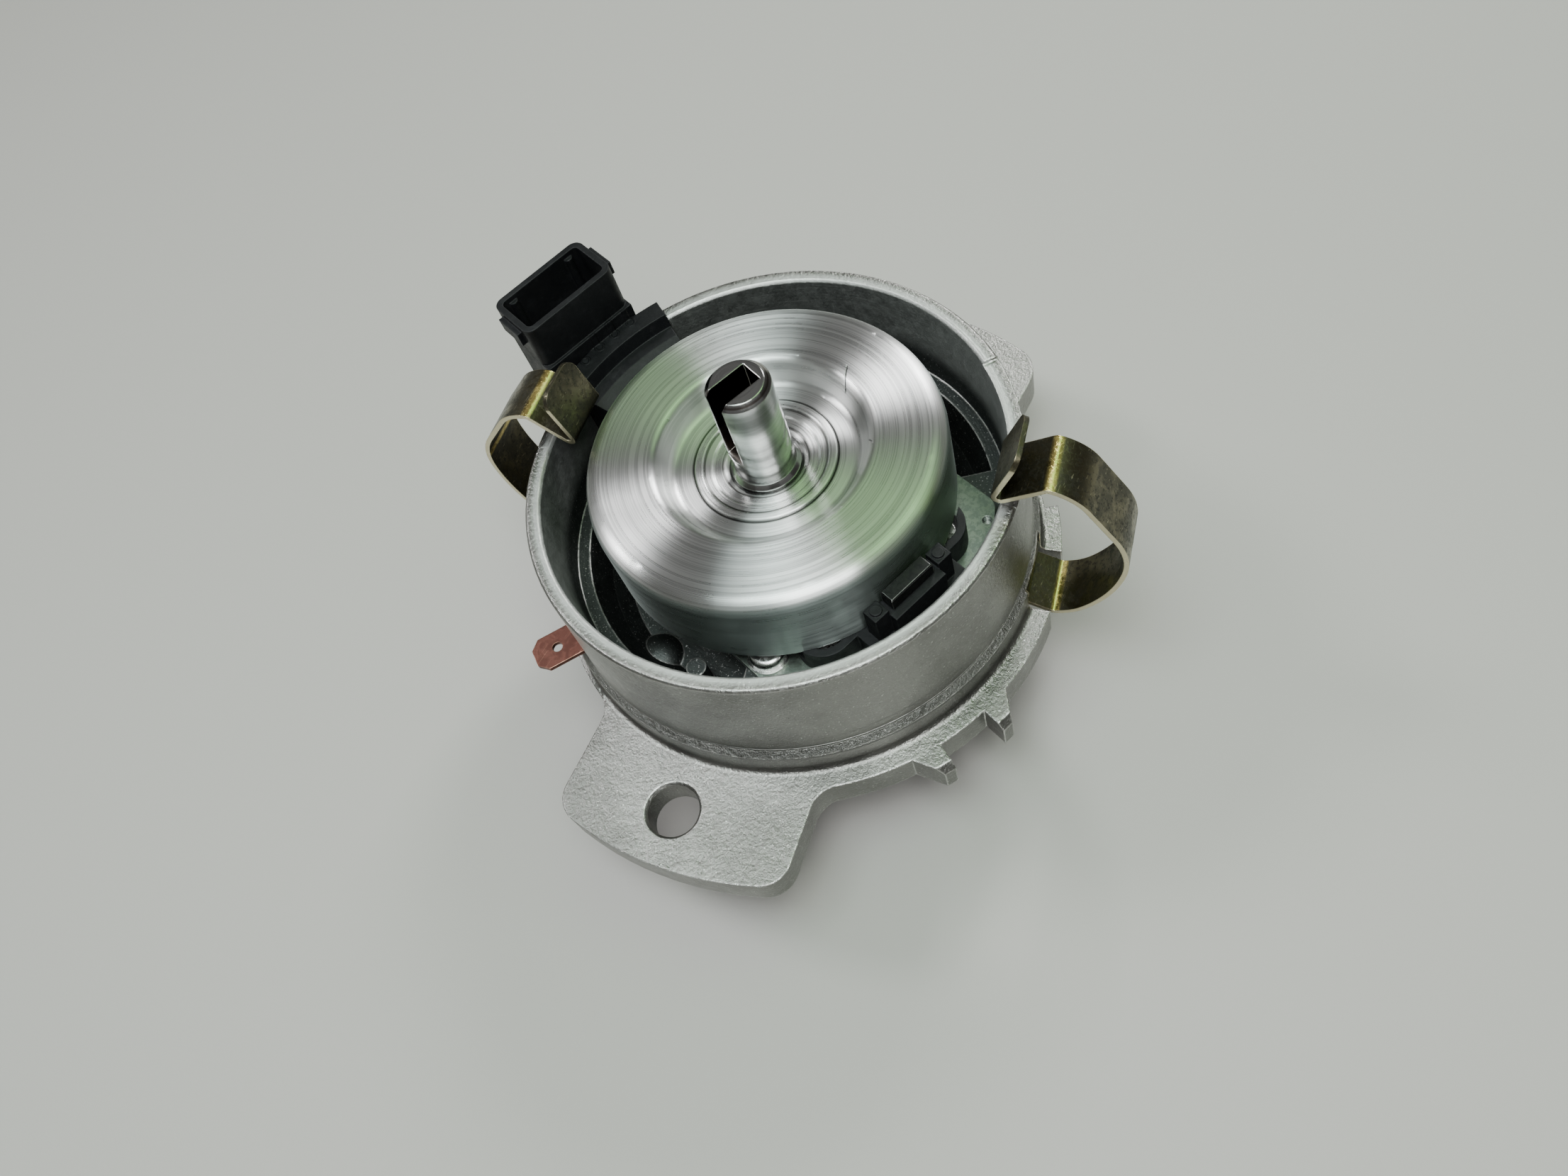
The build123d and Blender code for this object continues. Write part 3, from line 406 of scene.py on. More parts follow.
    def build_handling(self) -> Tree:
        """Fine scratches in two directions over faint smudges.

        Returns:
            The group's node tree.
        """
        sheet, taken, given = self.start(
            Effect.HANDLING,
            [("Vector", "Vector", 0.0), ("Cells", "Float", 260.0)],
            [("Scratch", "Float"), ("Smudge", "Float")],
        )
        masks = []
        for angle, stretch in ((0.5, 34.0), (2.2, 26.0)):
            turned = sheet.add("ShaderNodeMapping")
            sheet.feed(turned.inputs["Vector"], taken["Vector"])
            turned.inputs["Rotation"].default_value = (angle, angle * 0.7, angle)
            turned.inputs["Scale"].default_value = (1.0, stretch, stretch)
            cells = sheet.times(taken["Cells"], 0.35)
            lines = sheet.noise(turned.outputs[0], cells, 2.0, 0.5)
            masks.append(sheet.ramp(lines, 0.69, 0.74))
        smudge = sheet.noise(taken["Vector"], 90.0, 4.0, 0.6, 0.6)
        sheet.feed(given["Scratch"], sheet.plus(masks[0], masks[1], clamp=True))
        sheet.feed(given["Smudge"], smudge)
        return sheet.tree


class Finish:
    """Base of the finishes: opens a material and feeds its shader.

    Attributes:
        name: Name of the material.
        metallic: 1 for a metal, 0 for anything else.
    """

    name: str = "finish"
    metallic: float = 1.0

    def open(self) -> Tuple[Material, Sheet, Node]:
        """Makes the empty material.

        Returns:
            The material, its sheet and its shader node.
        """
        material = bpy.data.materials.new(self.name)
        material.use_nodes = True
        tree = material.node_tree
        return material, Sheet(tree), tree.nodes["Principled BSDF"]

    def fill(self, sheet: Sheet, shader: Node, colour: Link, rough: Link, normal: Link) -> None:
        """Feeds the shader what every finish gives it.

        Args:
            sheet: Sheet of the material.
            shader: Shader node.
            colour: Base colour.
            rough: Roughness.
            normal: Normal.
        """
        sheet.feed(shader.inputs["Base Color"], colour)
        sheet.feed(shader.inputs["Metallic"], self.metallic)
        sheet.feed(shader.inputs["Roughness"], rough)
        sheet.feed(shader.inputs["Normal"], normal)

    def make(self, shelf: EffectShelf) -> Material:
        """Makes the material.

        Args:
            shelf: Shared effects.

        Returns:
            The finished material.
        """
        raise NotImplementedError


@dataclass(frozen=True)
class BlastedCasting(Finish):
    """Blasted aluminium die casting with worn, brighter edges and painted shade at the bottom of
    its bowl.

    Attributes:
        metal: Colour of the open metal.
        dull: Colour in the swells of the skin.
        edge: Colour of the worn edges and of the specks.
        bore: Colour inside the bowl.
        shade: Colour of the painted shade at the bottom of the bowl.
        as_cast: Colour of the rough band.
        rough: Roughness in the pits and on the open skin.
        grain_depth: Depth of the blasted grain.
        edge_round: Radius of the round on the edges.
        band: Lower and upper height of the rough as-cast band round the foot of the wall.
        band_depth: Depth of the band's roughness.
        witness_height: Height of the fine line that the die left round the wall.
        witness_depth: Depth of that line.
        floor_height: Height of the bowl's floor.
        bore_radius: Radius inside which the skin is machined.
        wall_radius: Radius outside which the band and the line show.
        deep: Height under which the painted shade in the bowl is darkest, and height at which it
            ends.
    """

    name: str = "cast_alloy"
    metal: Colour = (0.29, 0.286, 0.275)
    dull: Colour = (0.205, 0.202, 0.193)
    edge: Colour = (0.86, 0.85, 0.83)
    bore: Colour = (0.56, 0.58, 0.57)
    shade: Colour = (0.034, 0.039, 0.038)
    as_cast: Colour = (0.13, 0.13, 0.125)
    rough: Range = (0.27, 0.42)
    grain_depth: float = 0.22 * MM
    edge_round: float = 0.45 * MM
    band: Range = (10.6 * MM, 12.4 * MM)
    band_depth: float = 0.6 * MM
    witness_height: float = 14.6 * MM
    witness_depth: float = 0.05 * MM
    floor_height: float = 9.0 * MM
    bore_radius: float = 38.2 * MM
    wall_radius: float = 39.4 * MM
    deep: Range = (19.6 * MM, 24.0 * MM)

    def make(self, shelf: EffectShelf) -> Material:
        """Makes the casting's skin.

        Args:
            shelf: Shared effects.

        Returns:
            The finished material.
        """
        material, sheet, shader = self.open()
        place = sheet.place()
        x, y, z = sheet.parts(place)
        radius = sheet.reach(x, y)
        soft = shelf.place(sheet, Effect.SOFT_EDGES, radius=self.edge_round, gain=8.0)
        grain = shelf.place(sheet, Effect.BLASTED_GRAIN, vector=place, cells=1900.0)
        wear = shelf.place(sheet, Effect.MOTTLE, vector=place, cells=900.0, low=0.30, high=0.52)
        marks = shelf.place(sheet, Effect.LATHE_MARKS, vector=place, cells=2400.0, length=2.0)
        handled = shelf.place(sheet, Effect.HANDLING, vector=place, cells=240.0)
        height, scratch = grain["Height"], handled["Scratch"]

        within = sheet.ramp(radius, self.bore_radius + 1.2 * MM, self.bore_radius)
        above = sheet.ramp(z, self.floor_height - 1.0 * MM, self.floor_height - 0.2 * MM)
        inside = sheet.times(within, above)
        # Painted shade: the inside of the bowl darkens towards its bottom.
        deep = sheet.times(inside, sheet.ramp(z, self.deep[1], self.deep[0]))
        wall = sheet.ramp(radius, self.wall_radius - 0.6 * MM, self.wall_radius)
        in_band = sheet.times(sheet.window(z, self.band[0], self.band[1], 0.2 * MM), wall)
        worn = sheet.times(soft["Edge"], wear["Mask"])

        colour = sheet.mix(sheet.ramp(grain["Swell"], 0.40, 0.62), self.dull, self.metal)
        colour = sheet.mix(sheet.times(inside, 0.7), colour, self.bore)
        # Painted shade at the bottom of the bowl.
        colour = sheet.mix(sheet.times(deep, 0.95), colour, self.shade)
        colour = sheet.mix(sheet.times(in_band, 0.55), colour, self.as_cast)
        colour = sheet.mix(sheet.times(grain["Speck"], 0.8), colour, self.edge)
        colour = sheet.mix(worn, colour, self.edge)

        rough = sheet.ramp(height, 0.35, 0.95, self.rough)
        rough = sheet.plus(rough, sheet.times(inside, 0.16))
        rough = sheet.minus(rough, sheet.times(worn, 0.12))
        rough = sheet.minus(rough, sheet.times(scratch, 0.08))

        turned = sheet.times(marks["Height"], sheet.times(inside, 0.25))
        grained = sheet.times(height, sheet.minus(1.0, sheet.times(inside, 0.6)))
        normal = sheet.bump(sheet.plus(grained, turned), self.grain_depth, soft["Normal"])
        coarse = sheet.noise(place, 1100.0, 4.0, 0.7)
        normal = sheet.bump(sheet.times(coarse, in_band), self.band_depth, normal)
        line = sheet.window(z, self.witness_height, self.witness_height, 0.12 * MM)
        outside = sheet.ramp(radius, self.wall_radius - 0.2 * MM, self.wall_radius + 0.2 * MM)
        normal = sheet.bump(sheet.times(line, outside), self.witness_depth, normal)
        self.fill(sheet, shader, colour, rough, normal)
        return material


@dataclass(frozen=True)
class TurnedSteel(Finish):
    """Steel turned or ground round the shaft's axis, with the highlight that rings give.

    Attributes:
        metal: Colour of the clean metal.
        dark: Colour between the rings.
        edge: Colour of the rubbed edges.
        seam_shade: Colour of the painted shade along the seams.
        scar: Colour of the deep scratches.
        rough: Roughness at the finest and at the coarsest rings.
        cells: Rings per metre of profile.
        arc: How often the rings break up round the axis.
        ring_depth: Depth of the rings.
        scratch_depth: Depth of the deep scratches.
        stretch: How far the highlight is drawn out across the rings.
        wall: Radius outside which the skin takes painted shade, or 0.
        painted_wall_shade: Colour of that painted shade, a dark greenish reflection of the bowl.
        slot: Radius and height inside and under which the key slot takes painted shade, or 0.
        painted_slot_shade: Colour of that painted shade.
        seams: Radius of each seam that takes a dark line of painted shade.
        scratches: Start and end of each deep scratch, in millimetres.
    """

    name: str = "turned_steel"
    metal: Colour = (0.72, 0.73, 0.72)
    dark: Colour = (0.49, 0.50, 0.495)
    edge: Colour = (0.85, 0.85, 0.84)
    seam_shade: Colour = (0.07, 0.07, 0.065)
    scar: Colour = (0.10, 0.10, 0.10)
    rough: Range = (0.27, 0.33)
    cells: float = 3600.0
    arc: float = 0.3
    ring_depth: float = 0.003 * MM
    scratch_depth: float = 0.08 * MM
    stretch: float = 1.0
    wall: float = 0.0
    painted_wall_shade: Colour = (0.25, 0.29, 0.28)
    slot: Range = (0.0, 0.0)
    painted_slot_shade: Colour = (0.15, 0.13, 0.12)
    seams: Tuple[float, ...] = ()
    scratches: Tuple[Tuple[Range, Range], ...] = ()

    def scratch_mask(self, sheet: Sheet, x: Link, y: Link) -> Link:
        """Marks the deep scratches.

        Args:
            sheet: Sheet of the material.
            x: X of the shaded point.
            y: Y of the shaded point.

        Returns:
            Mask of the scratches.
        """
        mask: Link = 0.0
        for (ax, ay), (bx, by) in self.scratches:
            length = ((bx - ax) ** 2 + (by - ay) ** 2) ** 0.5
            ux, uy = (bx - ax) / length, (by - ay) / length
            dx, dy = sheet.minus(x, ax * MM), sheet.minus(y, ay * MM)
            along = sheet.plus(sheet.times(dx, ux), sheet.times(dy, uy))
            across = sheet.math("ABSOLUTE", sheet.minus(sheet.times(dx, uy), sheet.times(dy, ux)))
            starts = sheet.ramp(along, -0.2 * MM, 0.4 * MM)
            ends = sheet.ramp(along, (length + 0.2) * MM, (length - 0.6) * MM)
            thin = sheet.ramp(across, 0.16 * MM, 0.04 * MM)
            mask = sheet.math("MAXIMUM", mask, sheet.times(sheet.times(starts, ends), thin))
        return mask

    def make(self, shelf: EffectShelf) -> Material:
        """Makes the turned steel.

        Args:
            shelf: Shared effects.

        Returns:
            The finished material.
        """
        material, sheet, shader = self.open()
        place = sheet.place()
        x, y, z = sheet.parts(place)
        soft = shelf.place(sheet, Effect.SOFT_EDGES, radius=0.25 * MM, gain=4.0)
        marks = shelf.place(
            sheet, Effect.LATHE_MARKS, vector=place, cells=self.cells, length=self.arc
        )
        handled = shelf.place(sheet, Effect.HANDLING, vector=place, cells=300.0)
        radius, height = marks["Radius"], marks["Height"]
        scratch = self.scratch_mask(sheet, x, y)

        fine = sheet.ramp(height, 0.43, 0.55, (0.0, 0.7))
        share = sheet.plus(fine, sheet.ramp(marks["Band"], 0.38, 0.60, (0.0, 0.3)))
        colour = sheet.mix(share, self.dark, self.metal)
        # Painted shade: the outer wall is darkened and tinted green, as the dark bowl that it
        # reflects would make it.
        if self.wall:
            outer = sheet.ramp(radius, self.wall, self.wall + 0.5 * MM)
            colour = sheet.mix(sheet.times(outer, 0.9), colour, self.painted_wall_shade)
        colour = sheet.mix(sheet.times(soft["Edge"], 0.5), colour, self.edge)
        # Painted shade: a dark line along each seam where the parts meet.
        for seam in self.seams:
            gap = sheet.math("ABSOLUTE", sheet.minus(radius, seam))
            colour = sheet.mix(sheet.ramp(gap, 0.28 * MM, 0.10 * MM, (0.0, 0.8)), colour, self.seam_shade)
        # Painted shade inside the key slot.
        if self.slot[0]:
            within = sheet.ramp(radius, self.slot[0], self.slot[0] - 0.2 * MM)
            under = sheet.ramp(z, self.slot[1], self.slot[1] - 0.3 * MM)
            colour = sheet.mix(sheet.times(within, under), colour, self.painted_slot_shade)
        colour = sheet.mix(sheet.times(scratch, 0.85), colour, self.scar)

        rough = sheet.ramp(height, 0.35, 0.70, self.rough)
        rough = sheet.plus(rough, sheet.ramp(handled["Smudge"], 0.45, 0.70, (0.0, 0.05)))
        shader.inputs["Anisotropic"].default_value = self.stretch
        shader.inputs["Anisotropic Rotation"].default_value = 0.25
        tangent = sheet.add("ShaderNodeTangent", direction_type="RADIAL", axis="Z")
        sheet.feed(shader.inputs["Tangent"], tangent.outputs[0])

        normal = sheet.bump(height, self.ring_depth, soft["Normal"])
        normal = sheet.bump(sheet.minus(1.0, scratch), self.scratch_depth, normal)
        self.fill(sheet, shader, colour, rough, normal)
        return material


@dataclass(frozen=True)
class PlainSteel(Finish):
    """Small metal pieces: bright, plated or dark and oiled.

    Attributes:
        metal: Colour of the clean metal.
        patch: Colour of the patches.
        edge: Colour of the rubbed edges.
        rough: Roughness of the clean metal and of the patches.
        cells: Patches per metre.
        share: Where the patches start and end in the noise.
        grain_depth: Depth of the fine grain.
        edge_round: Radius of the round on the edges.
    """

    name: str = "bright_steel"
    metal: Colour = (0.66, 0.66, 0.65)
    patch: Colour = (0.50, 0.50, 0.49)
    edge: Colour = (0.80, 0.80, 0.78)
    rough: Range = (0.20, 0.38)
    cells: float = 700.0
    share: Range = (0.42, 0.62)
    grain_depth: float = 0.01 * MM
    edge_round: float = 0.18 * MM

    def make(self, shelf: EffectShelf) -> Material:
        """Makes the steel.

        Args:
            shelf: Shared effects.

        Returns:
            The finished material.
        """
        material, sheet, shader = self.open()
        place = sheet.place()
        low, high = self.share
        soft = shelf.place(sheet, Effect.SOFT_EDGES, radius=self.edge_round, gain=4.0)
        patches = shelf.place(
            sheet, Effect.MOTTLE, vector=place, cells=self.cells, low=low, high=high
        )
        handled = shelf.place(sheet, Effect.HANDLING, vector=place, cells=520.0)
        grain = shelf.place(sheet, Effect.BLASTED_GRAIN, vector=place, cells=3600.0)
        patched = patches["Mask"]

        colour = sheet.mix(patched, self.metal, self.patch)
        colour = sheet.mix(sheet.times(soft["Edge"], 0.6), colour, self.edge)

        rough = sheet.ramp(patched, 0.0, 1.0, self.rough)
        rough = sheet.plus(rough, sheet.times(handled["Scratch"], 0.12))
        normal = sheet.bump(grain["Height"], self.grain_depth, soft["Normal"])
        self.fill(sheet, shader, colour, rough, normal)
        return material


@dataclass(frozen=True)
class ChromatedSpring(Finish):
    """Spring strip with a mottled yellow chromate, rubbed bright along its bends.

    Attributes:
        dark: Colour of the chromate's dark clouds.
        pale: Colour of its pale clouds.
        spot: Colour of the fine dark spots.
        scratched: Colour of the scratches.
        rubbed: Colour of the rubbed bends.
        cut: Colour of the strip's cut sides.
        azimuth: Azimuth of the clip, in degrees.
        lean: Lean of the clip about its pivot, in degrees.
        creases: Distance from the axis and height of each bend, in millimetres, clip upright.
        crease_reach: How far from a bend the rubbed metal starts to fade, and where it ends.
        pivot: Distance from the axis and height of the pivot, in millimetres.
        cut_start: Distance from the strip's middle where a cut side starts, and where it is full.
        spot_depth: Relief of the spots.
    """

    name: str = "chromated_spring"
    dark: Colour = (0.085, 0.08, 0.057)
    pale: Colour = (0.175, 0.158, 0.10)
    spot: Colour = (0.045, 0.043, 0.035)
    scratched: Colour = (0.62, 0.56, 0.38)
    rubbed: Colour = (0.80, 0.64, 0.22)
    cut: Colour = (0.66, 0.60, 0.42)
    azimuth: float = 0.0
    lean: float = 0.0
    creases: Tuple[Range, ...] = ((45.0, 4.4), (44.9, 39.2), (55.3, 23.0))
    crease_reach: Range = (0.35 * MM, 1.05 * MM)
    pivot: Range = (38.9, 8.9)
    cut_start: Range = (4.72 * MM, 4.79 * MM)
    spot_depth: float = 0.02 * MM

    def crease_mask(self, sheet: Sheet, out: Link, up: Link) -> Link:
        """Marks the rubbed bends.

        Args:
            sheet: Sheet of the material.
            out: Distance of the shaded point from the axis, along the clip's azimuth.
            up: Its height.

        Returns:
            Mask of the bends.
        """
        mask: Link = 0.0
        lean = radians(self.lean)
        near, far = self.crease_reach
        for r, h in self.creases:
            dr, dh = r - self.pivot[0], h - self.pivot[1]
            bend_out = self.pivot[0] + dr * cos(lean) - dh * sin(lean)
            bend_up = self.pivot[1] + dr * sin(lean) + dh * cos(lean)
            gap = sheet.reach(sheet.minus(out, bend_out * MM), sheet.minus(up, bend_up * MM))
            mask = sheet.math("MAXIMUM", mask, sheet.ramp(gap, far, near))
        return mask

    def make(self, shelf: EffectShelf) -> Material:
        """Makes the chromated strip.

        Args:
            shelf: Shared effects.

        Returns:
            The finished material.
        """
        material, sheet, shader = self.open()
        place = sheet.place()
        x, y, z = sheet.parts(place)
        east, north = cos(radians(self.azimuth)), sin(radians(self.azimuth))
        out = sheet.plus(sheet.times(x, east), sheet.times(y, north))
        side = sheet.minus(sheet.times(y, east), sheet.times(x, north))
        soft = shelf.place(sheet, Effect.SOFT_EDGES, radius=0.18 * MM, gain=5.0)
        cloud = shelf.place(sheet, Effect.MOTTLE, vector=place, cells=260.0, low=0.40, high=0.62)
        fine = shelf.place(sheet, Effect.MOTTLE, vector=place, cells=1500.0, low=0.48, high=0.66)
        handled = shelf.place(sheet, Effect.HANDLING, vector=place, cells=420.0)
        clouds, spots = cloud["Mask"], fine["Mask"]
        bends = self.crease_mask(sheet, out, z)
        bends = sheet.times(bends, sheet.ramp(spots, 0.0, 1.0, (1.0, 0.55)))

        colour = sheet.mix(clouds, self.dark, self.pale)
        colour = sheet.mix(sheet.times(spots, 0.8), colour, self.spot)
        colour = sheet.mix(sheet.times(handled["Scratch"], 0.5), colour, self.scratched)
        colour = sheet.mix(bends, colour, self.rubbed)
        cut = sheet.ramp(sheet.math("ABSOLUTE", side), *self.cut_start)
        colour = sheet.mix(cut, colour, self.cut)

        rough = sheet.ramp(clouds, 0.0, 1.0, (0.40, 0.28))
        rough = sheet.plus(rough, sheet.times(spots, 0.16))
        rough = sheet.minus(rough, sheet.times(bends, 0.14))
        normal = sheet.bump(sheet.times(spots, 0.5), self.spot_depth, soft["Normal"])
        self.fill(sheet, shader, colour, rough, normal)
        return material


@dataclass(frozen=True)
class BlackMoulding(Finish):
    """Glass-filled black plastic with a faint bluish sheen and dust on its edges.

    Attributes:
        body: Colour of the plastic.
        dust: Colour of the dust and of rubbed edges.
        rough: Least and greatest roughness.
        grain_depth: Depth of the plastic's grain.
        mark_azimuths: Azimuth of each small ring mark, in degrees.
        mark_radius: Distance of the ring marks from the axis.
        mark_ring: Inner and outer radius of a ring mark.
        mark_depth: Height of a ring mark.
    """

    name: str = "black_moulding"
    metallic: float = 0.0
    body: Colour = (0.0045, 0.0048, 0.0058)
    dust: Colour = (0.030, 0.031, 0.034)
    rough: Range = (0.44, 0.62)
    grain_depth: float = 0.04 * MM
    mark_azimuths: Tuple[float, ...] = ()
    mark_radius: float = 40.2 * MM
    mark_ring: Range = (0.65 * MM, 0.85 * MM)
    mark_depth: float = 0.18 * MM

    def mark_mask(self, sheet: Sheet, x: Link, y: Link) -> Link:
        """Marks the small rings.

        Args:
            sheet: Sheet of the material.
            x: X of the shaded point.
            y: Y of the shaded point.

        Returns:
            Mask of the rings.
        """
        mask: Link = 0.0
        for azimuth in self.mark_azimuths:
            dx = sheet.minus(x, self.mark_radius * cos(radians(azimuth)))
            dy = sheet.minus(y, self.mark_radius * sin(radians(azimuth)))
            ring = sheet.window(sheet.reach(dx, dy), *self.mark_ring, 0.15 * MM)
            mask = sheet.math("MAXIMUM", mask, ring)
        return mask

    def make(self, shelf: EffectShelf) -> Material:
        """Makes the black plastic.

        Args:
            shelf: Shared effects.

        Returns:
            The finished material.
        """
        material, sheet, shader = self.open()
        place = sheet.place()
        soft = shelf.place(sheet, Effect.SOFT_EDGES, radius=0.3 * MM, gain=3.5)
        grain = shelf.place(sheet, Effect.BLASTED_GRAIN, vector=place, cells=2600.0)
        handled = shelf.place(sheet, Effect.HANDLING, vector=place, cells=360.0)
        dusty = shelf.place(sheet, Effect.MOTTLE, vector=place, cells=420.0, low=0.50, high=0.72)

        colour = sheet.mix(sheet.times(dusty["Mask"], 0.22), self.body, self.dust)
        colour = sheet.mix(sheet.times(soft["Edge"], 0.5), colour, self.dust)
        colour = sheet.mix(sheet.times(handled["Scratch"], 0.3), colour, self.dust)
        shader.inputs["Specular IOR Level"].default_value = 0.25

        rough = sheet.ramp(grain["Height"], 0.35, 0.95, self.rough)
        rough = sheet.plus(rough, sheet.ramp(handled["Smudge"], 0.4, 0.7, (-0.05, 0.08)))
        normal = sheet.bump(grain["Height"], self.grain_depth, soft["Normal"])
        if self.mark_azimuths:
            x, y, _ = sheet.parts(place)
            normal = sheet.bump(self.mark_mask(sheet, x, y), self.mark_depth, normal)
        self.fill(sheet, shader, colour, rough, normal)
        return material


@dataclass(frozen=True)
class TarnishedCopper(Finish):
    """Copper-brown tarnish on a blade terminal.

    Attributes:
        metal: Colour of the cleaner copper.
        tarnish: Colour of the tarnish.
        edge: Colour of the rubbed edges.
        scratched: Colour of the scratches.
        rough: Roughness of the copper and of the tarnish.
        relief: Depth of the tarnish.
    """

    name: str = "copper_terminal"
    metal: Colour = (0.27, 0.12, 0.095)
    tarnish: Colour = (0.12, 0.052, 0.042)
    edge: Colour = (0.75, 0.45, 0.32)
    scratched: Colour = (0.72, 0.42, 0.30)
    rough: Range = (0.30, 0.46)
    relief: float = 0.01 * MM

    def make(self, shelf: EffectShelf) -> Material:
        """Makes the tarnished copper.

        Args:
            shelf: Shared effects.

        Returns:
            The finished material.
        """
        material, sheet, shader = self.open()
        place = sheet.place()
        soft = shelf.place(sheet, Effect.SOFT_EDGES, radius=0.16 * MM, gain=5.0)
        cloud = shelf.place(sheet, Effect.MOTTLE, vector=place, cells=520.0, low=0.36, high=0.62)
        handled = shelf.place(sheet, Effect.HANDLING, vector=place, cells=500.0)
        clouds = cloud["Mask"]

        colour = sheet.mix(clouds, self.metal, self.tarnish)
        colour = sheet.mix(sheet.times(soft["Edge"], 0.7), colour, self.edge)
        colour = sheet.mix(sheet.times(handled["Scratch"], 0.4), colour, self.scratched)
        rough = sheet.ramp(clouds, 0.0, 1.0, self.rough)
        normal = sheet.bump(sheet.times(clouds, 0.6), self.relief, soft["Normal"])
        self.fill(sheet, shader, colour, rough, normal)
        return material


@dataclass(frozen=True)
class SealRubber(Finish):
    """Oiled black rubber of the seals.

    Attributes:
        body: Colour of the rubber.
        bloom: Colour of the bloom on it.
        rough: Roughness of the clean rubber and of the bloom.
        ring_depth: Depth of the rings left by the mould.
    """

    name: str = "seal_rubber"
    metallic: float = 0.0
    body: Colour = (0.018, 0.018, 0.018)
    bloom: Colour = (0.07, 0.07, 0.068)
    rough: Range = (0.34, 0.6)
    ring_depth: float = 0.02 * MM

    def make(self, shelf: EffectShelf) -> Material:
        """Makes the rubber.

        Args:
            shelf: Shared effects.

        Returns:
            The finished material.
        """
        material, sheet, shader = self.open()
        place = sheet.place()
        marks = shelf.place(sheet, Effect.LATHE_MARKS, vector=place, cells=900.0, length=1.0)
        bloom = shelf.place(sheet, Effect.MOTTLE, vector=place, cells=300.0, low=0.45, high=0.7)
        bloomed = bloom["Mask"]

        colour = sheet.mix(sheet.times(bloomed, 0.3), self.body, self.bloom)
        rough = sheet.ramp(bloomed, 0.0, 1.0, self.rough)
        geometry = sheet.add("ShaderNodeNewGeometry")
        normal = sheet.bump(marks["Height"], self.ring_depth, geometry.outputs["Normal"])
        self.fill(sheet, shader, colour, rough, normal)
        return material


@dataclass(frozen=True)
class StudioPaper(Finish):
    """Matte pale paper of the floor.

    Attributes:
        shade: Colour of the paper.
        fibre: Colour of its fibres.
        rough: Least and greatest roughness.
        fibre_depth: Relief of the fibres.
    """

    name: str = "studio_paper"
    metallic: float = 0.0
    shade: Colour = (0.40, 0.387, 0.375)
    fibre: Colour = (0.46, 0.446, 0.432)
    rough: Range = (0.80, 0.88)
    fibre_depth: float = 0.03 * MM

    def make(self, shelf: EffectShelf) -> Material:
        """Makes the paper.

        Args:
            shelf: Shared effects.

        Returns:
            The finished material.
        """
        material, sheet, shader = self.open()
        fibres = sheet.noise(sheet.place(), 900.0, 4.0, 0.6)
        colour = sheet.mix(sheet.times(fibres, 0.10), self.shade, self.fibre)
        rough = sheet.ramp(fibres, 0.3, 0.7, self.rough)
        geometry = sheet.add("ShaderNodeNewGeometry")
        normal = sheet.bump(fibres, self.fibre_depth, geometry.outputs["Normal"])
        self.fill(sheet, shader, colour, rough, normal)
        return material


@dataclass
class SubAssembly:
    """Base of the sub-assemblies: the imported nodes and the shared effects.

    Attributes:
        nodes: Packed objects by name.
        shelf: Shared effects.
    """

    nodes: Dict[str, bpy.types.Object]
    shelf: EffectShelf

    def dress(self, finish: Finish, *names: str) -> None:
        """Gives nodes a finish.

        Args:
            finish: Finish to make.
            names: Nodes that take it.
        """
        material = finish.make(self.shelf)
        for name in names:
            piece = self.nodes[name]
            piece.data.materials.clear()
            piece.data.materials.append(material)
            log.info("dressed %s in %s", name, finish.name)

    def build(self) -> None:
        """Builds and dresses the sub-assembly."""
        raise NotImplementedError


@dataclass
class CastBody(SubAssembly):
    """Housing with its bushes, seals and the earth blade."""

    def build(self) -> None:
        """Dresses the casting and what is pressed into it."""
        self.dress(BlastedCasting(), "housing")
        self.dress(SealRubber(), "spigot_o_ring", "shaft_seal")
        bronze = PlainSteel(
            name="sintered_bronze", metal=(0.50, 0.35, 0.19), patch=(0.34, 0.24, 0.14),
            rough=(0.42, 0.55), cells=1600.0, grain_depth=0.03 * MM,
        )
        self.dress(bronze, "lower_bush", "upper_bush")
        self.dress(TarnishedCopper(), "earth_terminal")


@dataclass
class DriveLine(SubAssembly):
    """Everything that turns with the shaft."""

    def build(self) -> None:
        """Dresses the shaft, the coupling, the hub and the cup."""
        cup = TurnedSteel(
            name="drawn_steel", wall=28.2 * MM, seams=(11.7 * MM,),
            scratches=(((14.9, -6.6), (18.8, -5.1)), ((7.2, -15.9), (7.9, -14.6))),
        )
        self.dress(cup, "trigger_cup")
        hub = TurnedSteel(
            name="hub_steel", cells=2400.0, rough=(0.24, 0.32), ring_depth=0.004 * MM,
            seams=(5.9 * MM, 6.9 * MM, 9.9 * MM, 11.6 * MM),
        )
        self.dress(hub, "cup_hub")
        shaft = TurnedSteel(
            name="shaft_steel", metal=(0.40, 0.40, 0.395), dark=(0.33, 0.33, 0.325), cells=1400.0,
            rough=(0.12, 0.16), ring_depth=0.001 * MM, stretch=0.0, slot=(4.75 * MM, 51.75 * MM),
        )
        self.dress(shaft, "drive_shaft")
        coupling = PlainSteel(
            name="coupling_steel", metal=(0.36, 0.35, 0.33), patch=(0.20, 0.19, 0.18),
            rough=(0.34, 0.48), cells=500.0,
        )
        self.dress(coupling, "drive_coupling")
        washer = PlainSteel(name="washer_steel")
        self.dress(washer, "coupling_pin", "coupling_ring", "coupling_washer", "hub_washer")


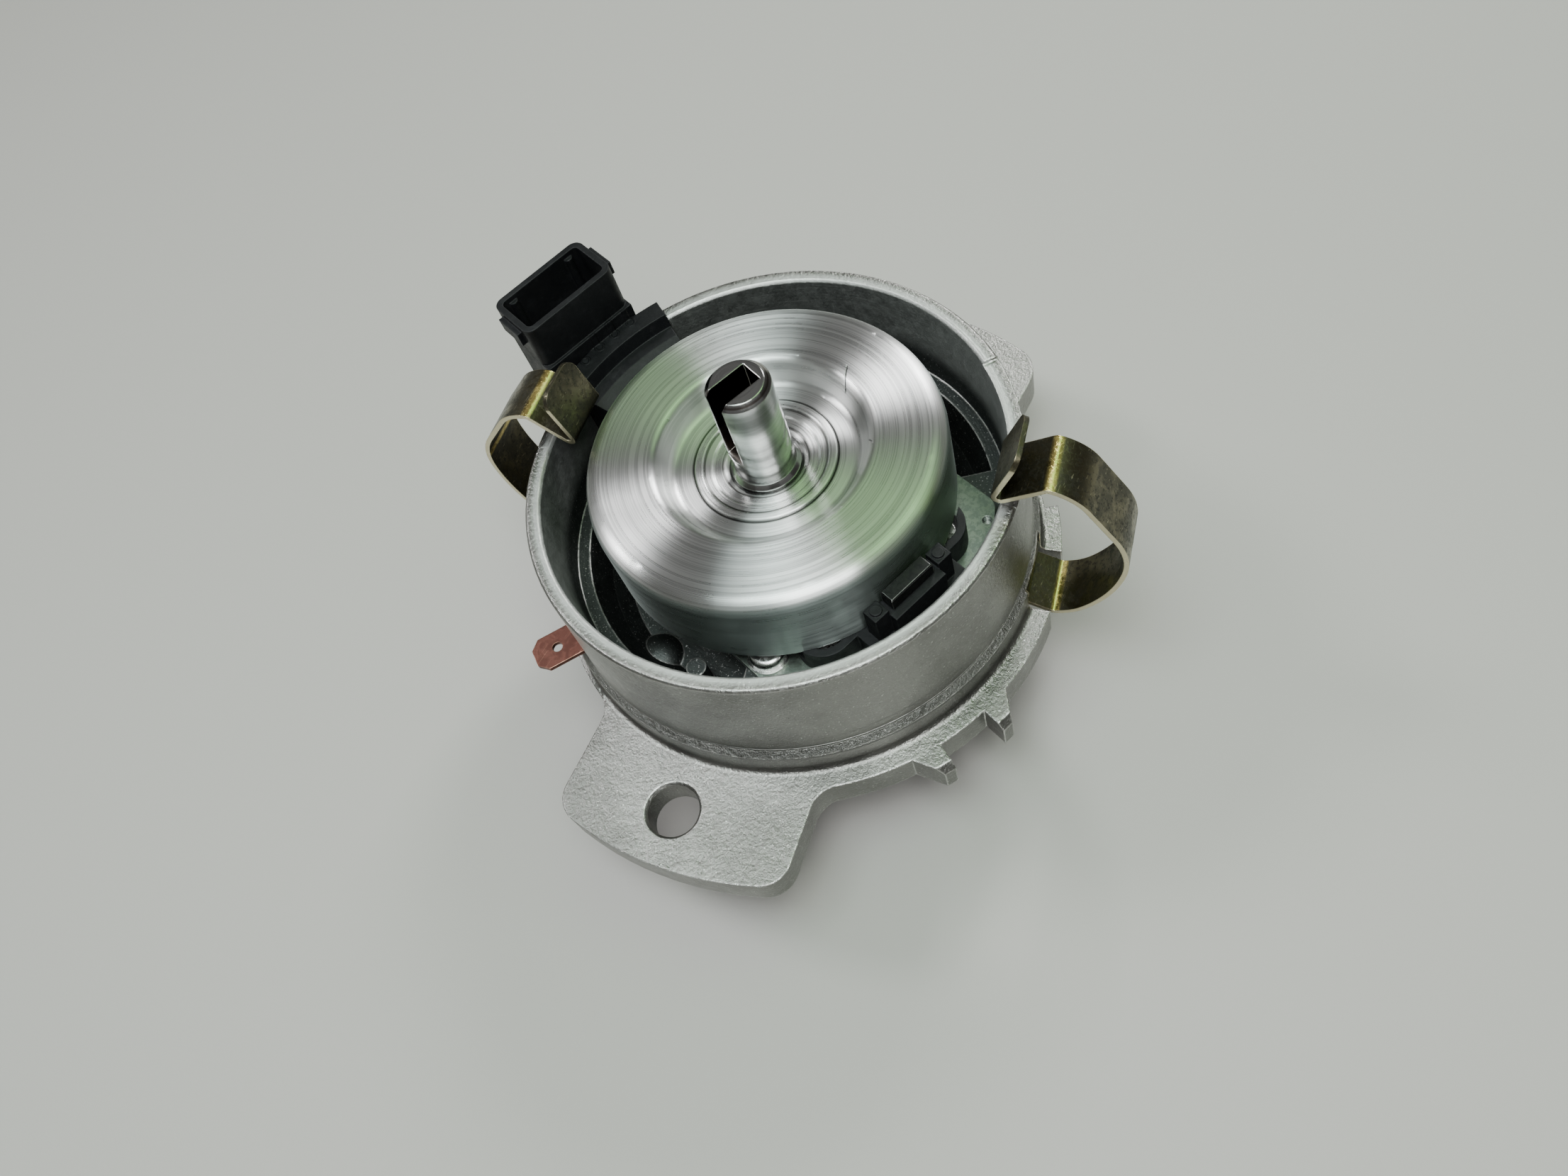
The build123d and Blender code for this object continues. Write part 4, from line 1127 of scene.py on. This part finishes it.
@dataclass
class SensorUnit(SubAssembly):
    """Sensor plate with the moulding, the magnet and their fastenings."""

    def build(self) -> None:
        """Dresses the plate and what stands on it."""
        plate = PlainSteel(
            name="zinc_plate", metal=(0.25, 0.29, 0.255), patch=(0.14, 0.17, 0.15),
            rough=(0.34, 0.50), cells=1300.0, share=(0.40, 0.60), grain_depth=0.02 * MM,
        )
        self.dress(plate, "sensor_plate")
        bright = PlainSteel(name="bright_steel")
        self.dress(bright, "plate_screw", "screw_washer", "plate_dowel", "sensor_rivets")
        self.dress(BlackMoulding(), "hall_sensor", "lead_strip")
        magnet = PlainSteel(
            name="magnet_skin", metal=(0.04, 0.04, 0.041), patch=(0.022, 0.022, 0.023),
            rough=(0.38, 0.5), cells=900.0,
        )
        self.dress(magnet, "hall_magnet")
        self.dress(BlackMoulding(name="chip_resin", body=(0.02, 0.02, 0.02)), "hall_chip")


@dataclass
class PlugSocket(SubAssembly):
    """Connector in the cut-out of the wall, and its blades.

    Attributes:
        mark_azimuths: Azimuth of each ring mark on the connector, in degrees.
    """

    mark_azimuths: Tuple[float, ...] = (67.0, 72.0, 77.0, 82.0)

    def build(self) -> None:
        """Dresses the connector and its blades."""
        moulding = BlackMoulding(name="connector_moulding", mark_azimuths=self.mark_azimuths)
        self.dress(moulding, "connector_housing")
        blades = PlainSteel(
            name="tinned_brass", metal=(0.66, 0.63, 0.52), patch=(0.52, 0.49, 0.40),
            rough=(0.25, 0.40),
        )
        self.dress(blades, "connector_blades")


@dataclass
class SpringClip(SubAssembly):
    """One cap clip and its pivot pin.

    Attributes:
        side: Which of the two clips.
        azimuth: Azimuth of the clip, in degrees.
        lean: Lean of the clip at rest, in degrees.
    """

    side: str = "right"
    azimuth: float = -75.0
    lean: float = 0.0

    def build(self) -> None:
        """Dresses the clip and its pin."""
        name = f"chromated_spring_{self.side}"
        finish = ChromatedSpring(name=name, azimuth=self.azimuth, lean=self.lean)
        self.dress(finish, f"clip_{self.side}")
        self.dress(PlainSteel(name=f"pin_steel_{self.side}"), f"clip_pin_{self.side}")


@dataclass(frozen=True)
class Softbox:
    """One square lamp with a soft light.

    Attributes:
        name: Name of the lamp.
        place: Where it hangs.
        size: Side of the square.
        power: Power in watts.
        colour: Colour of the light.
        aim: Point that it faces.
    """

    name: str
    place: Point
    size: float
    power: float
    colour: Colour = (1.0, 1.0, 1.0)
    aim: Point = (0.0, 0.0, 0.02)


@dataclass
class Studio:
    """Floor, soft lights, surroundings and a camera at the photo's angle.

    Attributes:
        shelf: Shared effects.
        floor_height: Height of the floor.
        floor_size: Half the side of the floor.
        flat_reach: Distance from the middle out to which the floor is flat.
        rise: How steeply it curves up beyond that.
        horizon: Colour of the surroundings at eye level and below.
        zenith: Their colour overhead.
        glow: Their strength.
        camera_place: Place of the camera.
        camera_aim: Direction that the camera looks along.
        camera_roll: Roll of the camera, in degrees.
        lens: Focal length of the camera, in millimetres.
        film_width: Width of its film, in millimetres.
        lights: Lamps round the object.
    """

    shelf: EffectShelf
    floor_height: float = -16.0 * MM
    floor_size: float = 2.4
    flat_reach: float = 0.9
    rise: float = 0.6
    horizon: Colour = (0.46, 0.46, 0.45)
    zenith: Colour = (0.74, 0.74, 0.72)
    glow: float = 0.34
    camera_place: Point = (-0.0812, -0.0888, 0.1865)
    camera_aim: Point = (0.343, 0.409, -0.846)
    camera_roll: float = -22.842
    lens: float = 28.48
    film_width: float = 36.0
    lights: Tuple[Softbox, ...] = (
        Softbox(
            "overhead_softbox", (-0.11, 0.015, 0.52), 0.22, 1.5,
            colour=(0.86, 1.0, 0.96), aim=(-0.02, 0.0, 0.02),
        ),
        Softbox("right_softbox", (0.60, 0.11, 0.46), 0.16, 3.0),
        Softbox("back_softbox", (-0.11, 0.52, 0.54), 0.16, 2.0),
        Softbox("green_softbox", (0.29, -0.15, 0.76), 0.50, 1.35, colour=(0.50, 1.0, 0.38)),
        Softbox(
            "front_softbox", (-0.15, -0.18, 0.48), 0.24, 2.1,
            colour=(0.97, 1.0, 0.98), aim=(-0.09, -0.08, 0.0),
        ),
    )

    def add_floor(self) -> None:
        """Lays a large sheet of paper that curves up far behind the object."""
        mesh = bpy.data.meshes.new("studio_floor")
        shape = bmesh.new()
        bmesh.ops.create_grid(shape, x_segments=24, y_segments=24, size=self.floor_size)
        for vertex in shape.verts:
            beyond = max(0.0, vertex.co.xy.length - self.flat_reach)
            vertex.co.z = beyond * beyond * self.rise
        shape.to_mesh(mesh)
        shape.free()
        floor = bpy.data.objects.new("studio_floor", mesh)
        floor.location.z = self.floor_height
        for face in mesh.polygons:
            face.use_smooth = True
        mesh.materials.append(StudioPaper().make(self.shelf))
        bpy.context.scene.collection.objects.link(floor)
        log.info("laid the studio floor")

    def add_light(self, softbox: Softbox) -> None:
        """Hangs one softbox.

        Args:
            softbox: Lamp to hang.
        """
        data = bpy.data.lights.new(softbox.name, "AREA")
        data.shape = "SQUARE"
        data.size = softbox.size
        data.energy = softbox.power
        data.color = softbox.colour
        lamp = bpy.data.objects.new(softbox.name, data)
        ahead = Vector(softbox.aim) - Vector(softbox.place)
        lamp.location = softbox.place
        lamp.rotation_euler = ahead.to_track_quat("-Z", "Y").to_euler()
        bpy.context.scene.collection.objects.link(lamp)
        log.info("hung %s", softbox.name)

    def add_surroundings(self) -> None:
        """Sets a plain soft surrounding light, paler overhead."""
        world = bpy.data.worlds.new("studio_air")
        world.use_nodes = True
        sheet = Sheet(world.node_tree)
        background = world.node_tree.nodes["Background"]
        _, _, up = sheet.parts(sheet.add("ShaderNodeTexCoord").outputs["Generated"])
        colour = sheet.mix(sheet.ramp(up, 0.0, 0.9), self.horizon, self.zenith)
        sheet.feed(background.inputs["Color"], colour)
        background.inputs["Strength"].default_value = self.glow
        bpy.context.scene.world = world
        log.info("set the surroundings")

    def add_camera(self) -> None:
        """Places the camera where the photograph was taken."""
        ahead = Vector(self.camera_aim).normalized()
        level = ahead.cross(Vector((0.0, 0.0, 1.0))).normalized()
        upright = level.cross(ahead)
        roll = radians(self.camera_roll)
        right = level * cos(roll) + upright * sin(roll)
        up = upright * cos(roll) - level * sin(roll)
        data = bpy.data.cameras.new("photo_camera")
        data.sensor_fit = "HORIZONTAL"
        data.sensor_width = self.film_width
        data.lens = self.lens
        data.clip_start = 0.005
        camera = bpy.data.objects.new("photo_camera", data)
        turned = Matrix((right, up, -ahead)).transposed().to_4x4()
        camera.matrix_world = Matrix.Translation(self.camera_place) @ turned
        bpy.context.scene.collection.objects.link(camera)
        bpy.context.scene.camera = camera
        log.info("placed the camera")

    def build(self) -> None:
        """Sets up the whole studio."""
        self.add_floor()
        for softbox in self.lights:
            self.add_light(softbox)
        self.add_surroundings()
        self.add_camera()


def main() -> None:
    """Loads the frame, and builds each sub-assembly and the studio."""
    logging.basicConfig(level=logging.INFO, format="%(name)s: %(message)s")
    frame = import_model()
    nodes, shelf = frame["nodes"], EffectShelf()
    assemblies: List[SubAssembly] = [
        CastBody(nodes, shelf),
        DriveLine(nodes, shelf),
        SensorUnit(nodes, shelf),
        PlugSocket(nodes, shelf),
        SpringClip(nodes, shelf, side="right", azimuth=-75.0, lean=0.0),
        SpringClip(nodes, shelf, side="left", azimuth=100.0, lean=11.0),
    ]
    for assembly in assemblies:
        assembly.build()
    Studio(shelf).build()


if __name__ == "__main__":
    main()
